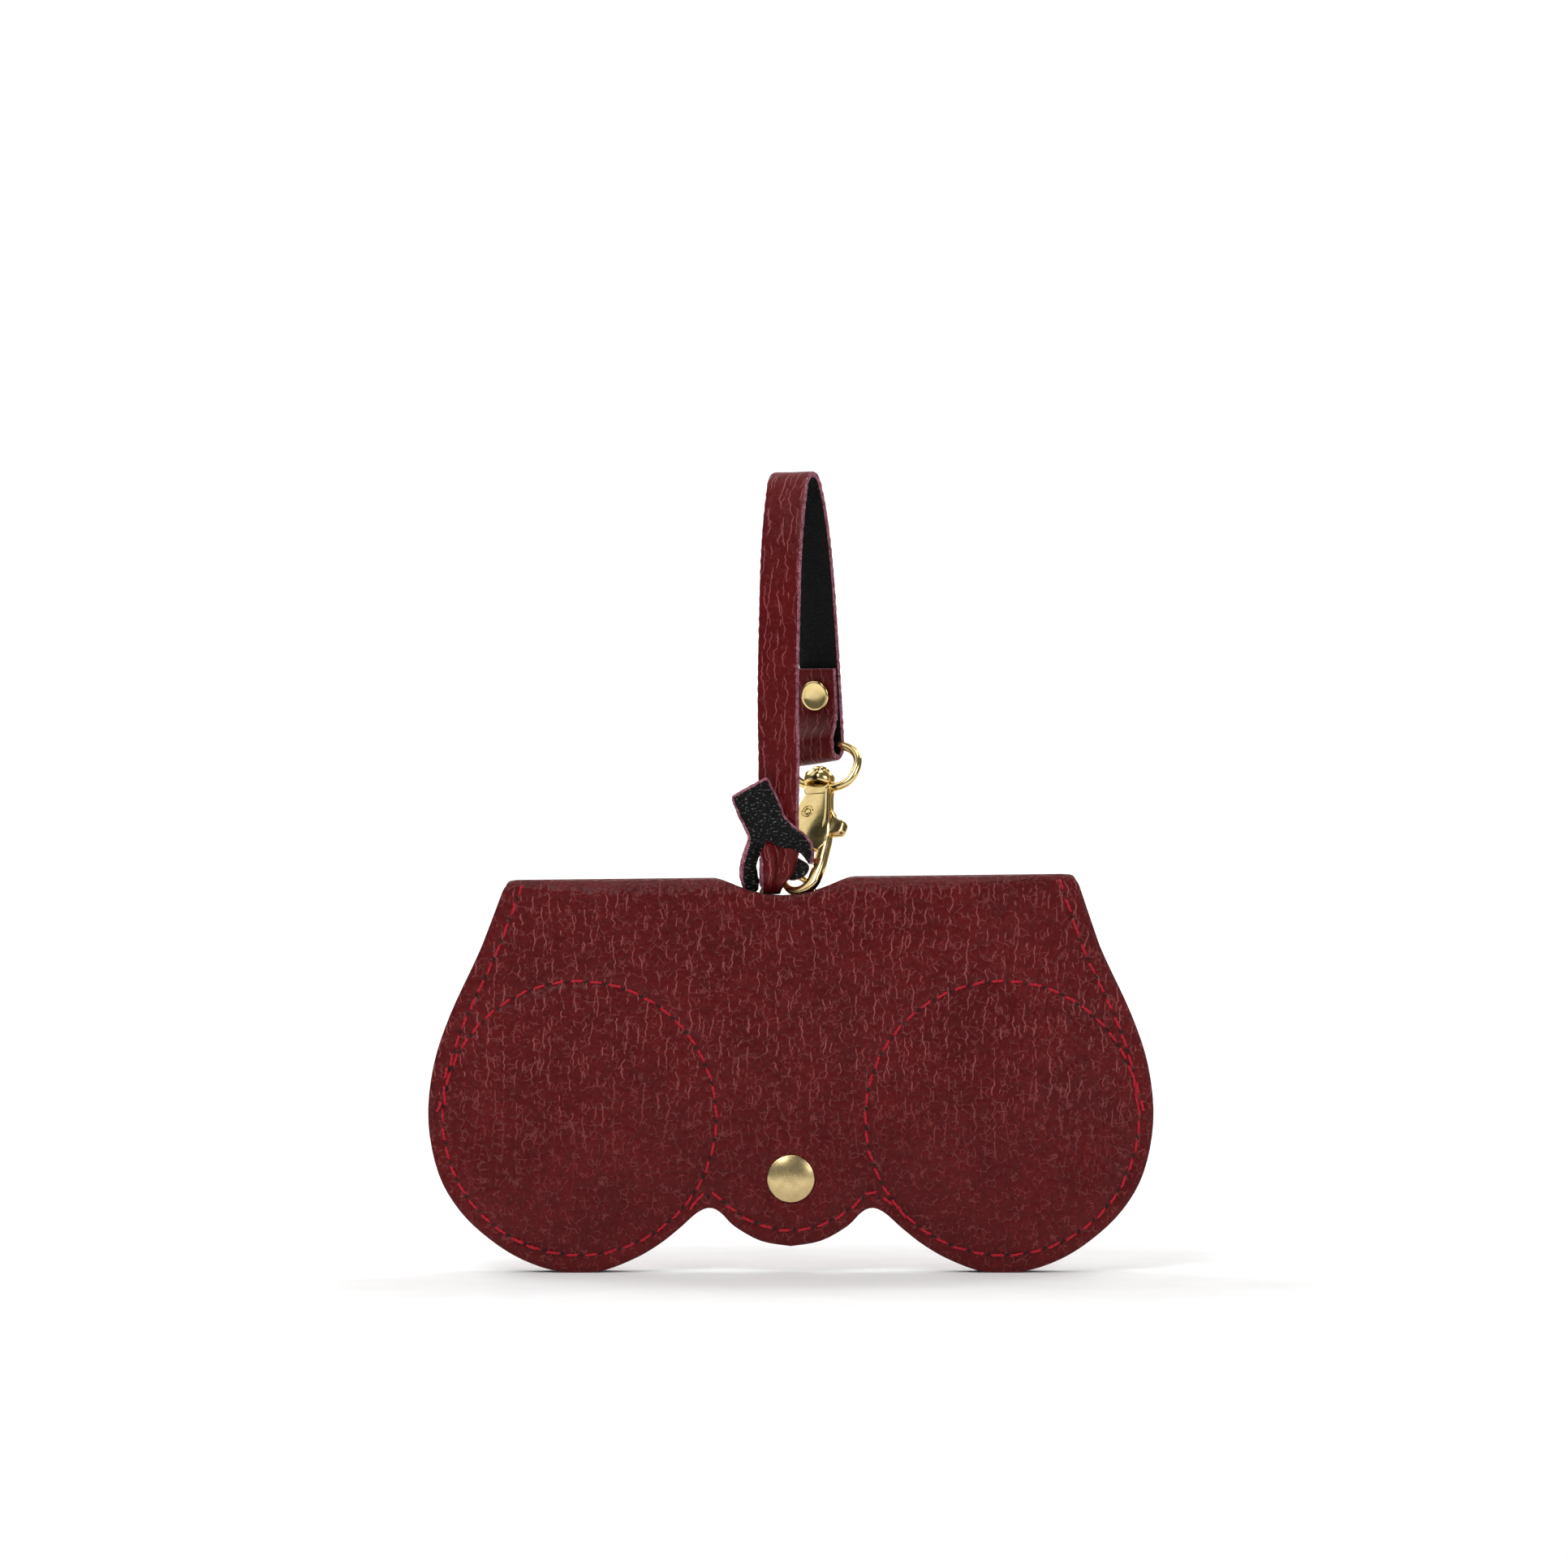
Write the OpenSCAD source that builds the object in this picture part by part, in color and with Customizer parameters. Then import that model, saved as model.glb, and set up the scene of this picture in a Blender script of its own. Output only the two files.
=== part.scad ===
// Soft glasses pouch in the outline of a pair of sunglasses, with a snap at the nose and a wrist strap whose
// trigger clasp and slit end share one D-ring. Millimetres, +Z up, the front faces -Y.
// The origin is where a finger or hook carries the strap: the inside of its top bend.

/* [Pouch] */
// Height of the folded pouch, from its lobes to the top of its fold
pouch_h = 92.3; // [90:0.1:95]
// Height of the side seams' lower ends, where the mouth begins
mouth_z = 38.5; // [34:0.5:42]
// Room between the two linings
pocket_gap = 5; // [4.8:0.1:7]
// Thickness of the outer leather
leather_t = 1.4; // [1:0.1:1.6]
// Thickness of the lining
lining_t = 0.6; // [0.4:0.1:0.8]
// Depth of the eye-shaped cut-out below the fold
notch_depth = 4.3; // [3.5:0.1:4.6]
// Width of the cut-out at the fold
notch_w = 28.8; // [26:0.2:30]
// Width of the drawn-in leather along each side seam
seam_w = 6; // [4:0.5:8]

/* [Stitching] */
// Radius of the two round lens seams
lens_r = 32; // [28:0.5:32.5]
// Distance of the side seams from the edge
side_inset = 3.8; // [3:0.1:5]
// Distance from one stitch to the next
stitch_pitch = 4.4; // [3.5:0.1:6]
// Visible length of a stitch
stitch_l = 2.8; // [2:0.1:3.2]
// Thickness of the thread
thread_d = 0.8; // [0.6:0.1:1]

/* [Snap] */
// Diameter of the snap's cap
cap_d = 11.1; // [9:0.1:12.5]
// Height of the snap's centre above the lobes
snap_z = 21.9; // [20:0.1:24]

/* [Strap] */
// Width of the strap
strap_w = 10.5; // [9:0.1:11]
// Thickness of the strap
strap_t = 1.4; // [1.2:0.1:1.6]
// Turn of the strap's loop about the vertical
loop_yaw = 28; // [24:1:32]
// Height of the inside of the strap's top bend above the lobes
hang_z = 186; // [180:1:190]
// Diameter of the strap rivet's caps
rivet_d = 6.6; // [6:0.1:7.5]

/* [Metal] */
// Diameter of the D-ring's wire
d_wire = 1.5; // [1.3:0.1:1.6]
// Radius of the D-ring's arc, at the middle of its wire
d_r = 6.4; // [6.2:0.1:6.6]
// Diameter of the clasp ring's wire
c_wire = 1.7; // [1.5:0.1:1.8]
// Width of the clasp ring outside
c_ring_w = 18; // [17.6:0.1:18.4]
// Thickness of the clasp's hook
hook_t = 3.0; // [2.8:0.1:3.2]

/* [Hidden] */
$fn = 64;

// --- colours
burgundy = [0.36, 0.09, 0.11];
black = [0.06, 0.06, 0.07];
red = [0.78, 0.13, 0.22];
brass = [0.83, 0.72, 0.42];

// --- the pouch's layers, measured from the middle of the pocket
in_y = pocket_gap / 2;
mid_y = in_y + lining_t;
out_y = mid_y + leather_t;
fold_z = pouch_h - out_y;
slit = 0.15;
notch_x = -1.7;
notch_r = (pow(notch_w / 2, 2) + pow(notch_depth, 2)) / (2 * notch_depth);
far = 60;

// --- the D-ring and its tab
ring_x = -0.6;
tab_t = 1.2;
tab_w = 9;
tab_bore = d_wire / 2 + 0.08;
tab_r = tab_bore + tab_t;
ring_y = in_y - tab_r;
bar_z = 85;
arc_z = 86.4;
tab_rivet_z = 76;
tab_low = 72;

// --- the strap's loop, in a plane of depth s and height z that is turned by loop_yaw
hang_y = 5.5;
loop_x = -1.87;
bend_r = 3.4;
bend_s = (hang_y - ring_y) / cos(loop_yaw);
bend_z = hang_z + strap_t / 2 - bend_r;
front_lean = 16;
back_lean = 30;
fold_s = 18.9;
clasp_z = 123.4;
end_r = c_wire / 2 + 1.15 + strap_t / 2;
end_drop = 1.2;
grip_z = clasp_z + 1.8;
// The clasp's ring has slid towards the strap's right edge by this much
ring_slide = 1.5;
end_top = 141.7;
rivet_z = 134.5;
cut_z = 145;

// --- the clasp, in its own frame: u across, v up, n out of its front, origin at the ring's top bar
hook_at = [2.6, ring_y, 92.2];
clasp_at = [loop_x + fold_s * sin(loop_yaw) + ring_slide * cos(loop_yaw),
            ring_y + fold_s * cos(loop_yaw) - ring_slide * sin(loop_yaw), clasp_z];
up = (clasp_at - hook_at) / norm(clasp_at - hook_at);
across = [cos(loop_yaw), -sin(loop_yaw), 0];
cu = (across - (across * up) * up) / norm(across - (across * up) * up);
cn = cross(up, cu);
c_round = (c_ring_w - c_wire) / 2;
c_drop = 10.8;
c_corner = c_drop - c_round;
c_flat = c_round - c_corner;
boss_r = 3.4;
boss_low = -11.3;
boss_high = -8.5;
shank_r = 1.15;
running = 0.05;
head_r = 2.15;
hook_top = -11.7;
pin_at = [-0.9, -18.7];
pin_r = 0.7;
bow_at = [-0.5, -35.2];
bow_t = 2;
bow_in = 3.3;
bow_out = 4.8;
lever_t = 1.3;
slot_t = 1.7;

// ---------------------------------------------------------------- curves
// Smooth curve through hand-placed points, with n steps between neighbours
function knot(p, i) = p[max(0, min(len(p) - 1, i))];
function smooth_at(a, b, c, d, t) =
    0.5 * ((2 * b) + (c - a) * t + (2 * a - 5 * b + 4 * c - d) * t * t + (3 * b - a - 3 * c + d) * t * t * t);
function smooth(p, n) = concat(
    [for (i = [0 : len(p) - 2], k = [0 : n - 1])
        smooth_at(knot(p, i - 1), p[i], p[i + 1], knot(p, i + 2), k / n)],
    [p[len(p) - 1]]);
function bezier(p, t) = pow(1 - t, 3) * p[0] + 3 * t * pow(1 - t, 2) * p[1]
    + 3 * t * t * (1 - t) * p[2] + t * t * t * p[3];
function arc(c, r, a, b, n) = [for (i = [0 : n]) c + r * [cos(a + (b - a) * i / n), sin(a + (b - a) * i / n)]];
function reversed(p) = [for (i = [len(p) - 1 : -1 : 0]) p[i]];
function mirrored(p) = [for (i = [len(p) - 1 : -1 : 0]) [-p[i].x, p[i].y]];
// The normal to the left of a path at its point i
function left_of(p, i) = let (d = p[min(i + 1, len(p) - 1)] - p[max(i - 1, 0)]) [-d.y, d.x] / norm(d);
function beside(p, off) = [for (i = [0 : len(p) - 1]) p[i] + off * left_of(p, i)];
function ribbon(p, t) = concat(beside(p, t / 2), reversed(beside(p, -t / 2)));
// Distance along a path up to each of its points, and the point and direction at distance d
function step(p, i) = i < len(p) - 1 ? norm(p[i + 1] - p[i]) : 0;
function run(p) = [for (i = 0, a = 0; i < len(p); a = a + step(p, i), i = i + 1) a];
function leg(r, d) = max([for (k = [0 : len(r) - 2]) if (r[k] <= d) k]);
function at(p, r, d) = let (i = leg(r, d)) p[i] + (p[i + 1] - p[i]) * (d - r[i]) / (r[i + 1] - r[i]);
function angle_at(p, r, d) = let (i = leg(r, d), v = p[i + 1] - p[i]) atan2(v.y, v.x);

// ---------------------------------------------------------------- the pouch's outline
// Right half from the middle of the nose to the top corner: nose, bridge, lens lobe, flare and shoulder
nose_half = [[0, 6.1], [7, 7.3], [13.2, 10.7], [16.2, 13.7], [18.8, 15], [21.8, 13.9]];
lobe = [[26, 10.2], [31, 6.3], [37, 2.9], [45, 0.1], [54, 0.1], [62.9, 3], [70.6, 7.9], [77.4, 14.4], [82.4, 23]];
flare = [[84.8, 35], [83.6, 48], [79.7, 60], [73.2, 74], [67.6, 87]];
shoulder = [[66.2, 90.6], [64.6, 92.1], [63, pouch_h]];
half_points = concat(nose_half, lobe, flare, shoulder);
half_outline = smooth(half_points, 4);
outline = concat(mirrored(half_outline), half_outline);
// The stretch of the right edge that a side seam follows
side_edge = [for (p = half_outline) if (p.x > 60 && p.y > mouth_z - 2 && p.y < pouch_h - 1) p];
side_line = beside(side_edge, side_inset);
lens_at = [49.4, 36];
nose_points = [[-23, 16], [-18.9, 18.6], [-14, 15], [-8.5, 11.6], [0, 9.8], [8.5, 11.6], [14, 15], [18.9, 18.6],
               [24.5, 15.2]];
nose_line = smooth(nose_points, 6);

// ---------------------------------------------------------------- the strap's path in its plane
front_top = [bend_s, bend_z] + bend_r * [-cos(front_lean), sin(front_lean)];
back_top = [bend_s, bend_z] + bend_r * [cos(back_lean), sin(back_lean)];
front_ctrl = [[-1.6, 96], [-4.2, 125], front_top - 30 * [sin(front_lean), cos(front_lean)], front_top];
back_ctrl = [back_top, back_top + 14 * [sin(back_lean), -cos(back_lean)], [fold_s + end_r - 2.4, 148],
             [fold_s + end_r, clasp_z - end_drop]];
front_path = concat([for (i = [0 : 24]) bezier(front_ctrl, i / 24)],
                    arc([bend_s, bend_z], bend_r, 180 - front_lean - 8, 94, 8));
back_run = [for (i = [0 : 48]) bezier(back_ctrl, i / 48)];
cut_i = min([for (i = [0 : len(back_run) - 1]) if (back_run[i].y <= cut_z) i]);
back_path = concat(arc([bend_s, bend_z], bend_r, 86, back_lean + 8, 7), [for (i = [0 : cut_i]) back_run[i]]);
rear_layer = [for (i = [cut_i : len(back_run) - 1]) back_run[i]];
// The folded end comes back up in front of the rear layer, and lies on it from a little below the rivet
function fold_gap(z) = let (open = max(0, min(1, (rivet_z - 3 - z) / (rivet_z - 3 - grip_z))))
    strap_t + 0.06 + (2 * end_r - strap_t) * pow(open, 1.6);
front_layer = [for (i = [len(rear_layer) - 1 : -1 : 0]) if (rear_layer[i].y < end_top)
    rear_layer[i] - fold_gap(rear_layer[i].y) * left_of(rear_layer, i)];
end_path = concat(rear_layer, arc([fold_s, clasp_z - end_drop], end_r, -10, -170, 12),
                  [for (p = front_layer) if (p.y > clasp_z - end_drop + 1) p]);
rivet_i = max([for (i = [0 : len(rear_layer) - 1]) if (rear_layer[i].y >= rivet_z) i]);
rivet_at = rear_layer[rivet_i] - strap_t / 2 * left_of(rear_layer, rivet_i);
rivet_dir = left_of(rear_layer, rivet_i);
rivet_seat = strap_t + 0.12;
rivet_dome = 1;
cap_edge = 0.4;

// ---------------------------------------------------------------- frames and helpers
// Everything is drawn with z from the lobes and y from the middle of the pocket, then hung from the origin
module hung() { translate([0, -hang_y, -hang_z]) children(); }
// A flat shape drawn in x and z becomes a slab from y0 to y1
module slab(y0, y1) { translate([0, y1, 0]) rotate([90, 0, 0]) linear_extrude(y1 - y0) children(); }
// A flat shape drawn in s and z in the strap's plane, w wide
module in_loop(w) {
    translate([loop_x, ring_y, 0]) rotate([90, 0, 90 - loop_yaw]) linear_extrude(w, center = true) children();
}
module clasp_frame() {
    multmatrix([[cu.x, cn.x, up.x, clasp_at.x], [cu.y, cn.y, up.y, clasp_at.y],
                [cu.z, cn.z, up.z, clasp_at.z], [0, 0, 0, 1]]) children();
}
// A round part on the Y axis through x, z, from y0 to y1
module rod_y(x, z, r, y0, y1) { translate([x, y1, z]) rotate([90, 0, 0]) cylinder(r = r, h = y1 - y0); }
// A turned part, its profile drawn as radius and height, standing out of the face at y, to -Y where dir is -1
module turned_y(x, z, y, dir) { translate([x, y, z]) rotate([-90 * dir, 0, 0]) rotate_extrude() children(); }
module notch() { rod_y(notch_x, pouch_h - notch_depth + notch_r, notch_r, -far, far); }
module above(z) { translate([-far * 2, z]) square([far * 4, far * 4]); }
module below(z) { translate([-far * 2, z - far * 4]) square([far * 4, far * 4]); }
// A flat layer of the pouch between two heights
module layer(y0, y1, z0, z1) {
    slab(y0, y1) intersection() {
        polygon(outline);
        translate([-far * 2, z0]) square([far * 4, z1 - z0]);
    }
}
// The bent part of a layer over the top, cut to the outline's corners and the notch
module fold_layer(r0, r1) {
    difference() {
        intersection() {
            translate([0, 0, fold_z]) rotate([0, 90, 0]) difference() {
                cylinder(r = r1, h = 4 * far, center = true);
                cylinder(r = r0, h = 5 * far, center = true);
            }
            slab(-far, far) intersection() {
                polygon(outline);
                above(fold_z);
            }
        }
        notch();
    }
}
// Stitches along a path in x and z, lying on the face at y; those between two heights only
module stitches(p, y, z0 = -1, z1 = 200) {
    r = run(p);
    total = r[len(r) - 1];
    count = floor(total / stitch_pitch);
    for (i = [0 : count - 1]) {
        d = (i + 0.5) * total / count;
        c = at(p, r, d);
        if (c.y > z0 && c.y < z1) translate([c.x, y, c.y]) rotate([0, 90 - angle_at(p, r, d), 0])
            cylinder(d = thread_d, h = stitch_l, center = true, $fn = 16);
    }
}
module both_sides() {
    children();
    mirror([1, 0, 0]) children();
}
lens_line = arc(lens_at, lens_r, 0, 360, 96);

// ---------------------------------------------------------------- pouch leather and lining
module back_leather() {
    color(burgundy) hung() difference() {
        layer(mid_y, out_y, 0, fold_z);
        notch();
        rod_y(0, snap_z, post_r, 0, far);
        rod_y(ring_x, tab_rivet_z, post_r, 0, far);
    }
}
module fold_leather() { color(burgundy) hung() fold_layer(mid_y, out_y); }
module front_leather() {
    color(burgundy) hung() difference() {
        layer(-out_y, -mid_y, mouth_z + slit, fold_z);
        notch();
    }
}
module lip_leather() {
    color(burgundy) hung() difference() {
        layer(-out_y, -mid_y, 0, mouth_z - slit);
        rod_y(0, snap_z, post_r, -far, 0);
    }
}
module back_lining() {
    color(black) hung() difference() {
        layer(in_y, mid_y, 0, fold_z);
        notch();
        rod_y(0, snap_z, post_r, 0, far);
        rod_y(ring_x, tab_rivet_z, post_r, 0, far);
    }
}
module fold_lining() { color(black) hung() fold_layer(in_y, mid_y); }
module front_lining() {
    color(black) hung() difference() {
        layer(-mid_y, -in_y, mouth_z + slit, fold_z);
        notch();
    }
}
module lip_lining() {
    color(black) hung() difference() {
        layer(-mid_y, -in_y, 0, mouth_z - slit);
        rod_y(0, snap_z, post_r, -far, 0);
    }
}
// The drawn-in leather that closes each side between the two leaves
module side_seams() {
    edge = [for (p = side_edge) if (p.y < fold_z + 1) p];
    color(burgundy) hung() both_sides() slab(-in_y, in_y) intersection() {
        polygon(concat(edge, reversed(beside(edge, seam_w))));
        translate([0, mouth_z + slit]) square([2 * far, fold_z - mouth_z - slit]);
    }
}

// ---------------------------------------------------------------- threads
thread_y = out_y + 0.1;
module side_stitches() { color(red) hung() both_sides() stitches(side_line, -thread_y, mouth_z + 2, fold_z); }
module lens_stitches() { color(red) hung() both_sides() stitches(lens_line, -thread_y, mouth_z + 1.6); }
module lip_lens_stitches() { color(red) hung() both_sides() stitches(lens_line, -thread_y, -1, mouth_z - 1.6); }
module nose_stitches() { color(red) hung() stitches(nose_line, -thread_y); }
module back_stitches() { color(black) hung() both_sides() stitches(side_line, thread_y, mouth_z + 2, fold_z); }

// ---------------------------------------------------------------- snap
post_r = 1.3;
cap_rim = 0.5;
cap_dome = 1.2;
socket_r = 4.6;
module cap_profile(r, rim, dome) {
    big = (r * r + dome * dome - rim * rim) / (2 * (dome - rim));
    intersection() {
        square([r, dome]);
        translate([0, dome - big]) circle(r = big, $fn = 200);
    }
}
module snap_cap() {
    color(brass) hung() {
        turned_y(0, snap_z, -out_y, -1) cap_profile(cap_d / 2, cap_rim, cap_dome);
        rod_y(0, snap_z, post_r, -out_y, -in_y);
    }
}
module snap_socket() {
    mouth_r = 2.2;
    depth = 3.4;
    color(brass) hung() turned_y(0, snap_z, -in_y, 1)
        polygon([[0, 0], [socket_r, 0], [socket_r, 0.8], [3.2, 1.4], [3.2, depth], [mouth_r, depth],
                 [mouth_r + 0.15, depth - 0.6], [mouth_r + 0.15, 1], [0, 1]]);
}
module snap_stud() {
    ball_y = 2;
    color(brass) hung() turned_y(0, snap_z, in_y, -1) union() {
        polygon([[0, 0], [socket_r, 0], [socket_r, 0.5], [3, 1], [1.45, 1], [1.45, ball_y], [0, ball_y]]);
        intersection() {
            translate([0, ball_y]) circle(r = 1.8);
            square([3, 6]);
        }
    }
}
module snap_post() {
    color(brass) hung() {
        turned_y(0, snap_z, out_y, 1) cap_profile(socket_r, 0.4, 0.8);
        rod_y(0, snap_z, post_r, in_y, out_y);
    }
}

// ---------------------------------------------------------------- D-ring and its tab
// The tab's side view: round the bar, then its two legs closing together down to the rivet
module tab_profile() {
    difference() {
        union() {
            translate([ring_y, bar_z]) circle(r = tab_r);
            polygon([[ring_y - tab_r + 0.15, bar_z - 0.7], [in_y - 0.15, bar_z - 0.7], [in_y, bar_z - 1.4],
                     [in_y, tab_low], [in_y - 2 * tab_t, tab_low], [in_y - 2 * tab_t, tab_rivet_z + 3.5]]);
        }
        translate([ring_y, bar_z]) circle(r = tab_bore);
    }
}
module ring_tab() {
    color(burgundy) hung() difference() {
        translate([ring_x, 0, 0]) rotate([90, 0, 90]) linear_extrude(tab_w, center = true) tab_profile();
        rod_y(ring_x, tab_rivet_z, post_r, -far, far);
    }
}
module tab_rivet() {
    color(brass) hung() {
        turned_y(ring_x, tab_rivet_z, in_y - 2 * tab_t, -1) cap_profile(3.3, 0.4, 0.8);
        rod_y(ring_x, tab_rivet_z, post_r, in_y - 2 * tab_t, mid_y);
    }
}
module tab_rivet_post() {
    color(brass) hung() {
        turned_y(ring_x, tab_rivet_z, out_y, 1) cap_profile(3.3, 0.4, 0.8);
        rod_y(ring_x, tab_rivet_z, post_r, mid_y, out_y);
    }
}
module d_ring() {
    r = d_wire / 2;
    color(brass) hung() translate([ring_x, ring_y, 0]) {
        translate([0, 0, arc_z]) rotate([90, 0, 0])
            rotate_extrude(angle = 180) translate([d_r, 0]) circle(r = r);
        for (side = [-1, 1]) {
            translate([side * d_r, 0, bar_z]) cylinder(r = r, h = arc_z - bar_z);
            translate([side * d_r, 0, bar_z]) sphere(r = r);
        }
        translate([0, 0, bar_z]) rotate([0, 90, 0]) cylinder(r = r, h = 2 * d_r, center = true);
    }
}

// ---------------------------------------------------------------- strap
module strap_front() { color(burgundy) hung() in_loop(strap_w) polygon(ribbon(front_path, strap_t)); }
module strap_back() { color(burgundy) hung() in_loop(strap_w) polygon(ribbon(back_path, strap_t)); }
module strap_end() {
    color(burgundy) hung() difference() {
        in_loop(strap_w) polygon(ribbon(end_path, strap_t));
        rivet_frame() cylinder(r = post_r, h = 4 * strap_t, center = true);
    }
}
// The rivet's frame has its origin between the strap's two layers and z out of the front one
module rivet_frame() {
    translate([loop_x, ring_y, 0]) rotate([90, 0, 90 - loop_yaw])
        translate([rivet_at.x, rivet_at.y, 0]) rotate([0, 0, atan2(-rivet_dir.y, -rivet_dir.x)])
        rotate([0, 90, 0]) children();
}
module rivet_half() {
    translate([0, 0, rivet_seat]) rotate_extrude() cap_profile(rivet_d / 2, cap_edge, rivet_dome);
    cylinder(r = post_r, h = rivet_seat);
}
module strap_rivet() { color(brass) hung() rivet_frame() rivet_half(); }
module strap_rivet_post() { color(brass) hung() rivet_frame() mirror([0, 0, 1]) rivet_half(); }

// The slit end hitched on the D-ring: the doubled strap round the arc, two legs and the tab in front
wrap_y = ring_y - d_wire / 2 - 0.35;
back_y = ring_y + d_wire / 2 + 0.35;
wrap_low = 88.6;
wrap_front = [[-6.9, 101], [3.6, 101], [2.4, 97.5], [-1.2, 93.4], [-2.6, wrap_low], [-4.6, wrap_low],
              [-5.6, 91.5], [-6.6, 96]];
wrap_back = [[-4.6, wrap_low], [-3, wrap_low], [-3.6, 95], [-6.6, 95], [-5.8, 91]];
wrap_turn = [1.6, back_y - wrap_y + 2 * strap_t, 1.3];
tab_right = [[-13.6, 109.4], [-5, 115.1], [-0.2, 106.2], [3.4, 102.6], [4.4, 99.4], [3, 98.6], [0.5, 99.8]];
tab_left = [[-3.5, 101.6], [-6.6, 100.6], [-7.2, 97.6], [-8.7, 94], [-8.9, 90.6], [-11.2, 90.6], [-12.5, 94.6],
            [-11, 99.6], [-10, 102.4]];
module strap_hitch() {
    color(burgundy) hung() {
        slab(wrap_y - strap_t, wrap_y) polygon(wrap_front);
        translate([wrap_back[0].x, wrap_y - strap_t, wrap_low]) cube(wrap_turn);
        slab(back_y, back_y + strap_t) polygon(wrap_back);
        slab(wrap_y - 2 * strap_t, wrap_y - strap_t) polygon(concat(tab_right, tab_left));
    }
}

// ---------------------------------------------------------------- clasp
// Its parts are drawn flat in u and v and stand t thick about the middle of the hook
module clasp_slab(t) { rotate([90, 0, 0]) linear_extrude(t, center = true) children(); }
module clasp_ring() {
    r = c_wire / 2;
    color(brass) hung() clasp_frame() difference() {
        union() {
            rotate([0, 90, 0]) cylinder(r = r, h = 2 * c_flat, center = true);
            for (side = [0, 1]) translate([(1 - 2 * side) * c_flat, 0, -c_corner]) rotate([90, 0, 0])
                rotate([0, 0, 90 * side]) rotate_extrude(angle = 90) translate([c_corner, 0]) circle(r = r);
            translate([0, 0, -c_corner]) rotate([90, 0, 0])
                rotate([0, 0, 180]) rotate_extrude(angle = 180) translate([c_round, 0]) circle(r = r);
            translate([0, 0, boss_low]) cylinder(r = boss_r, h = boss_high - boss_low);
        }
        translate([0, 0, boss_low - 2]) cylinder(r = shank_r + running, h = boss_high - boss_low + 4);
    }
}
module swivel_pin() {
    gap = 0.15;
    color(brass) hung() clasp_frame() {
        translate([0, 0, hook_top]) cylinder(r = shank_r, h = boss_high + gap - hook_top + 0.1);
        translate([0, 0, boss_high + gap]) cylinder(r = head_r, h = 1.3);
        translate([0, 0, boss_high + gap + 1.3]) cylinder(r1 = head_r, r2 = head_r - 0.5, h = 0.5);
    }
}
cheek = [[-2.7, hook_top], [3.4, hook_top], [3.6, -14], [5.2, -24], [5.2, -26.5], [2.6, -26.5], [2.2, -25],
         [-0.5, -22.6], [-3.4, -21.2], [-3.4, -16.4], [-2.2, -13.6]];
tip_v = bow_at.y + 0.9;
bow = concat([[5.2, -26]], arc(bow_at, bow_out, 0, -180, 32), [[bow_at.x - bow_out, tip_v]],
             [[bow_at.x - bow_in, tip_v]], arc(bow_at, bow_in, -180, 0, 32), [[2.6, -26]]);
module hook_body() {
    color(brass) hung() clasp_frame() difference() {
        union() {
            clasp_slab(hook_t) polygon(cheek);
            clasp_slab(bow_t) polygon(bow);
        }
        translate([0, 0, -19.6]) cube([30, slot_t, 10.6], center = true);
        translate([pin_at.x, 0, pin_at.y]) rotate([90, 0, 0]) cylinder(r = pin_r, h = 20, center = true);
    }
}
module lever_pin() {
    color(brass) hung() clasp_frame() translate([pin_at.x, 0, pin_at.y]) rotate([90, 0, 0]) {
        cylinder(r = pin_r, h = hook_t, center = true);
        for (side = [-1, 1]) translate([0, 0, side * (hook_t / 2 + 0.15)]) cylinder(r = 1.15, h = 0.3, center = true);
    }
}
gate = [[-0.6, -16.7], [-2.7, -17.8], [-5, -33.5], [-3.5, -33.7], [-0.4, -24.4], [1.6, -23.4]];
thumb_tab = [[5.6, -24.8], [8.6, -24.6], [9.2, -21.6], [6.6, -20.8], [4.6, -18.6], [2.4, -17]];
module clasp_lever() {
    color(brass) hung() clasp_frame() difference() {
        clasp_slab(lever_t) {
            translate(pin_at) circle(r = 2.1);
            polygon(concat(gate, thumb_tab));
        }
        translate([pin_at.x, 0, pin_at.y]) rotate([90, 0, 0]) cylinder(r = pin_r + running, h = 20, center = true);
        translate([pin_at.x, -0.05, pin_at.y]) rotate([90, 0, 0]) cylinder(r = 1.9, h = 10);
    }
}
module lever_spring() {
    color(brass) hung() clasp_frame() translate([pin_at.x, -0.42, pin_at.y]) rotate([90, 0, 0])
        rotate_extrude() translate([1.3, 0]) circle(r = 0.25);
}

back_leather();
fold_leather();
front_leather();
lip_leather();
back_lining();
fold_lining();
front_lining();
lip_lining();
side_seams();
side_stitches();
lens_stitches();
lip_lens_stitches();
nose_stitches();
back_stitches();
snap_cap();
snap_socket();
snap_stud();
snap_post();
ring_tab();
tab_rivet();
tab_rivet_post();
d_ring();
strap_front();
strap_hitch();
strap_back();
strap_end();
strap_rivet();
strap_rivet_post();
clasp_ring();
swivel_pin();
hook_body();
lever_pin();
clasp_lever();
lever_spring();
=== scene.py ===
import math

import bmesh
import bpy
import numpy as np
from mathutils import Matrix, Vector
from mathutils.geometry import delaunay_2d_cdt


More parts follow.
